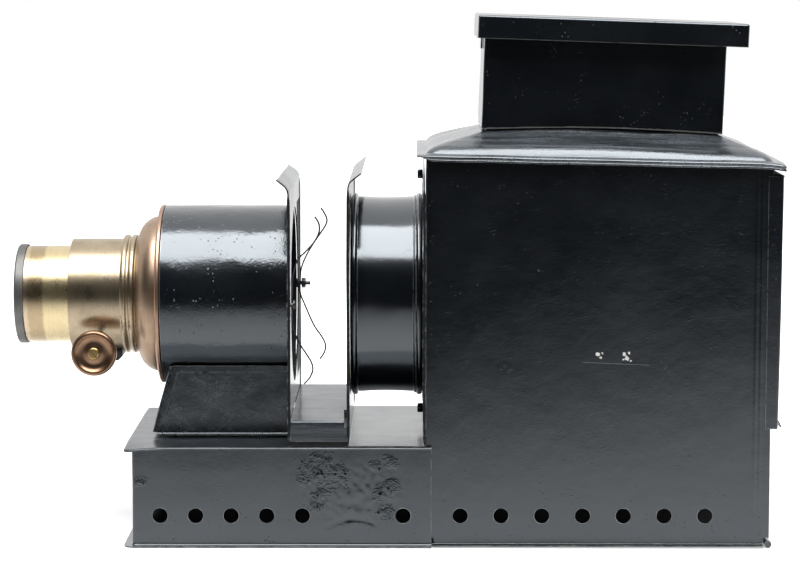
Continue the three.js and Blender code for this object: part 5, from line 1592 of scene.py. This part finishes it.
glass_wall = blown(glass_out)
glass_shell = glass_wall + [(200.25, 14.5)] + [(z, r - 1.2) for z, r in reversed(glass_wall)]
lamp_glass = turned("lamp_glass_blown", glass_shell, axis="z", centre=(burner_x, 0), sides=96, sharp=60)
lamp_glass.data.materials.append(lens_glass)
fit(lamp_glass, "oil_lamp", "clear_glass", "lamp_glass")


def silvered(name):
    """Silvered tin, polished but hazed and yellowed by lamp smoke."""
    material, tree, shader = node_tree(name)
    place = put(tree, "TexCoord").outputs["Object"]
    haze = cloud(tree, place, 16, 4.0, 0.65)
    soot = spread(tree, cloud(tree, place, 4, 4.0, 0.7), 0.6, 0.75)
    colour = tint(tree, spread(tree, haze, 0.4, 0.7, 0.0, 0.6), (0.88, 0.88, 0.86, 1), (0.66, 0.6, 0.48, 1))
    set_inputs(tree, shader, {
        "Base Color": tint(tree, soot, colour, (0.3, 0.27, 0.22, 1)), "Metallic": 1.0,
        "Roughness": spread(tree, haze, 0.3, 0.7, 0.06, 0.2),
        "Normal": bumped(tree, cloud(tree, place, 5, 2.0), 0.03),
    })
    return material


dish_x, dish_r, dish_deep = 306, 42, 12
dish_rings = [dish_r * i / 28 for i in range(29)]
dish_face = [(dish_x + dome_height(r, dish_r, dish_deep), r) for r in dish_rings]
dish_back = [(x + TIN, r) for x, r in reversed(dish_face)]
dish = turned("reflector_dish", dish_face + dish_back, sides=128, sharp=40)
stem_near, stem_far = 4, 14
stem_line = FoldedLine([(dish_x, 98.5), (dish_x, 72.5), (dish_x + 10, 72.5)], 1.2)


def bend_stem(u, v, depth):
    """Where a point of the reflector's bracket ends up."""
    (px, pz), (nx, nz) = stem_line.at(v)
    return px + nx * depth, u, pz + nz * depth


stem = blank("reflector_stem", oblong(stem_near, stem_far, stem_line.length), [],
             every(stem_near, stem_far, 3), stem_line.stations(3), bend_stem)
reflector = joined("reflector_silvered", dish, stem)
reflector.data.materials.append(silvered("silvered_tin"))
fit(reflector, "oil_lamp", "silvered_plate", "reflector")


# ---------------------------------------------------------------- studio
# The lantern stands on a pale table. Its colour is painted dark towards the camera (painted shade, seen only
# in reflections) and near-black under the lantern (painted shadow). A long softbox hangs over the near side,
# the backdrop behind is white, and the room on the camera's side is dim.

paper, tree, shader = node_tree("table_paper")
paths = put(tree, "LightPath")
spot = put(tree, "SeparateXYZ", Vector=put(tree, "TexCoord").outputs["Object"])
foot_middle, foot_half, foot_side = 0.031, 0.181, 0.068
past_end = combined(tree, combined(tree, spot.outputs["X"], foot_middle, "SUBTRACT"), 0.0, "ABSOLUTE")
past_end = combined(tree, past_end, foot_half, "SUBTRACT")
past_side = combined(tree, combined(tree, spot.outputs["Y"], 0.0, "ABSOLUTE"), foot_side, "SUBTRACT")
clear_of = combined(tree, past_end, past_side, "MAXIMUM")
at_foot = spread(tree, clear_of, 0.0, 0.004, 0.0, 0.5)
further_off = spread(tree, clear_of, 0.03, 0.5, 0.0, 0.6)
glow = combined(tree, combined(tree, at_foot, further_off, "ADD"), paths.outputs["Is Camera Ray"])
# Painted shade: for all rays but camera rays, the table's colour falls to black towards the camera.
painted_dark_edge = spread(tree, spot.outputs["X"], 0.0, 0.3, -1.0, -1.8)
painted_falloff = combined(tree, spread(tree, spot.outputs["Y"], painted_dark_edge, -0.1), 2.0, "POWER")
far_glow = combined(tree, spread(tree, spot.outputs["Y"], 0.1, 0.6, 0.0, 0.6), paths.outputs["Is Glossy Ray"])
# Painted shadow: the table's colour is near-black under the lantern's foot.
pale_with_painted_shadow = tint(tree, spread(tree, clear_of, -0.006, -0.002), (0.05, 0.05, 0.05, 1), (0.8, 0.8, 0.8, 1))
pale_or_painted_dark = combined(tree, painted_falloff, paths.outputs["Is Camera Ray"], "MAXIMUM")
set_inputs(tree, shader, {
    "Base Color": tint(tree, pale_or_painted_dark, (0.0, 0.0, 0.0, 1), pale_with_painted_shadow),
    "Roughness": 0.9,
    "Specular IOR Level": 0.2,
    "Emission Color": (1, 1, 1, 1),
    "Emission Strength": combined(tree, glow, far_glow, "MAXIMUM"),
})
table = bpy.data.meshes.new("table")
table.from_pydata([(-3, -2.2, 0), (3, -2.2, 0), (3, 5, 0), (-3, 5, 0)], [], [(0, 1, 2, 3)])
table = bpy.data.objects.new("table", table)
bpy.context.scene.collection.objects.link(table)
table.data.materials.append(paper)
table.location.z = -0.0002

world = bpy.data.worlds.new("studio")
bpy.context.scene.world = world
world.use_nodes = True
tree = world.node_tree
ways = tree.nodes.new("ShaderNodeLightPath")
where = put(tree, "SeparateXYZ", Vector=put(tree, "TexCoord").outputs["Generated"]).outputs["Y"]
level = spread(tree, where, -0.1, 0.2, 0.015, 1.0)
seen = combined(tree, ways.outputs["Is Camera Ray"], ways.outputs["Is Transmission Ray"], "MAXIMUM")
tree.nodes["Background"].inputs["Color"].default_value = (1, 1, 1, 1)
tree.links.new(combined(tree, level, seen, "MAXIMUM"), tree.nodes["Background"].inputs["Strength"])


def lamp(name, place, aim, wide, high, power):
    """A softbox facing a point."""
    light = bpy.data.lights.new(name, "AREA")
    light.shape, light.size, light.size_y, light.energy = "RECTANGLE", wide, high, power
    piece = bpy.data.objects.new(name, light)
    bpy.context.scene.collection.objects.link(piece)
    piece.location = place
    piece.rotation_euler = (Vector(aim) - Vector(place)).to_track_quat("-Z", "Y").to_euler()
    return piece


lamp("softbox", (0, -0.50, 1.50), (0, 0, 0.14), 1.7, 1.16, 42)

lens = bpy.data.cameras.new("camera")
lens.lens, lens.sensor_width = 123.75, 36
camera = bpy.data.objects.new("camera", lens)
bpy.context.scene.collection.objects.link(camera)
camera.location = (0.0124, -1.6394, 0.3265)
camera.rotation_euler = (math.radians(90 - 6.308), 0, math.radians(0.3125))
bpy.context.scene.camera = camera
bpy.context.scene.view_settings.view_transform = "Standard"

# ---------------------------------------------------------------- sizes
# A box written as plain lists of numbers.

def plain(box):
    """A box as plain lists of numbers."""
    return [[float(number) for number in corner] for corner in box]
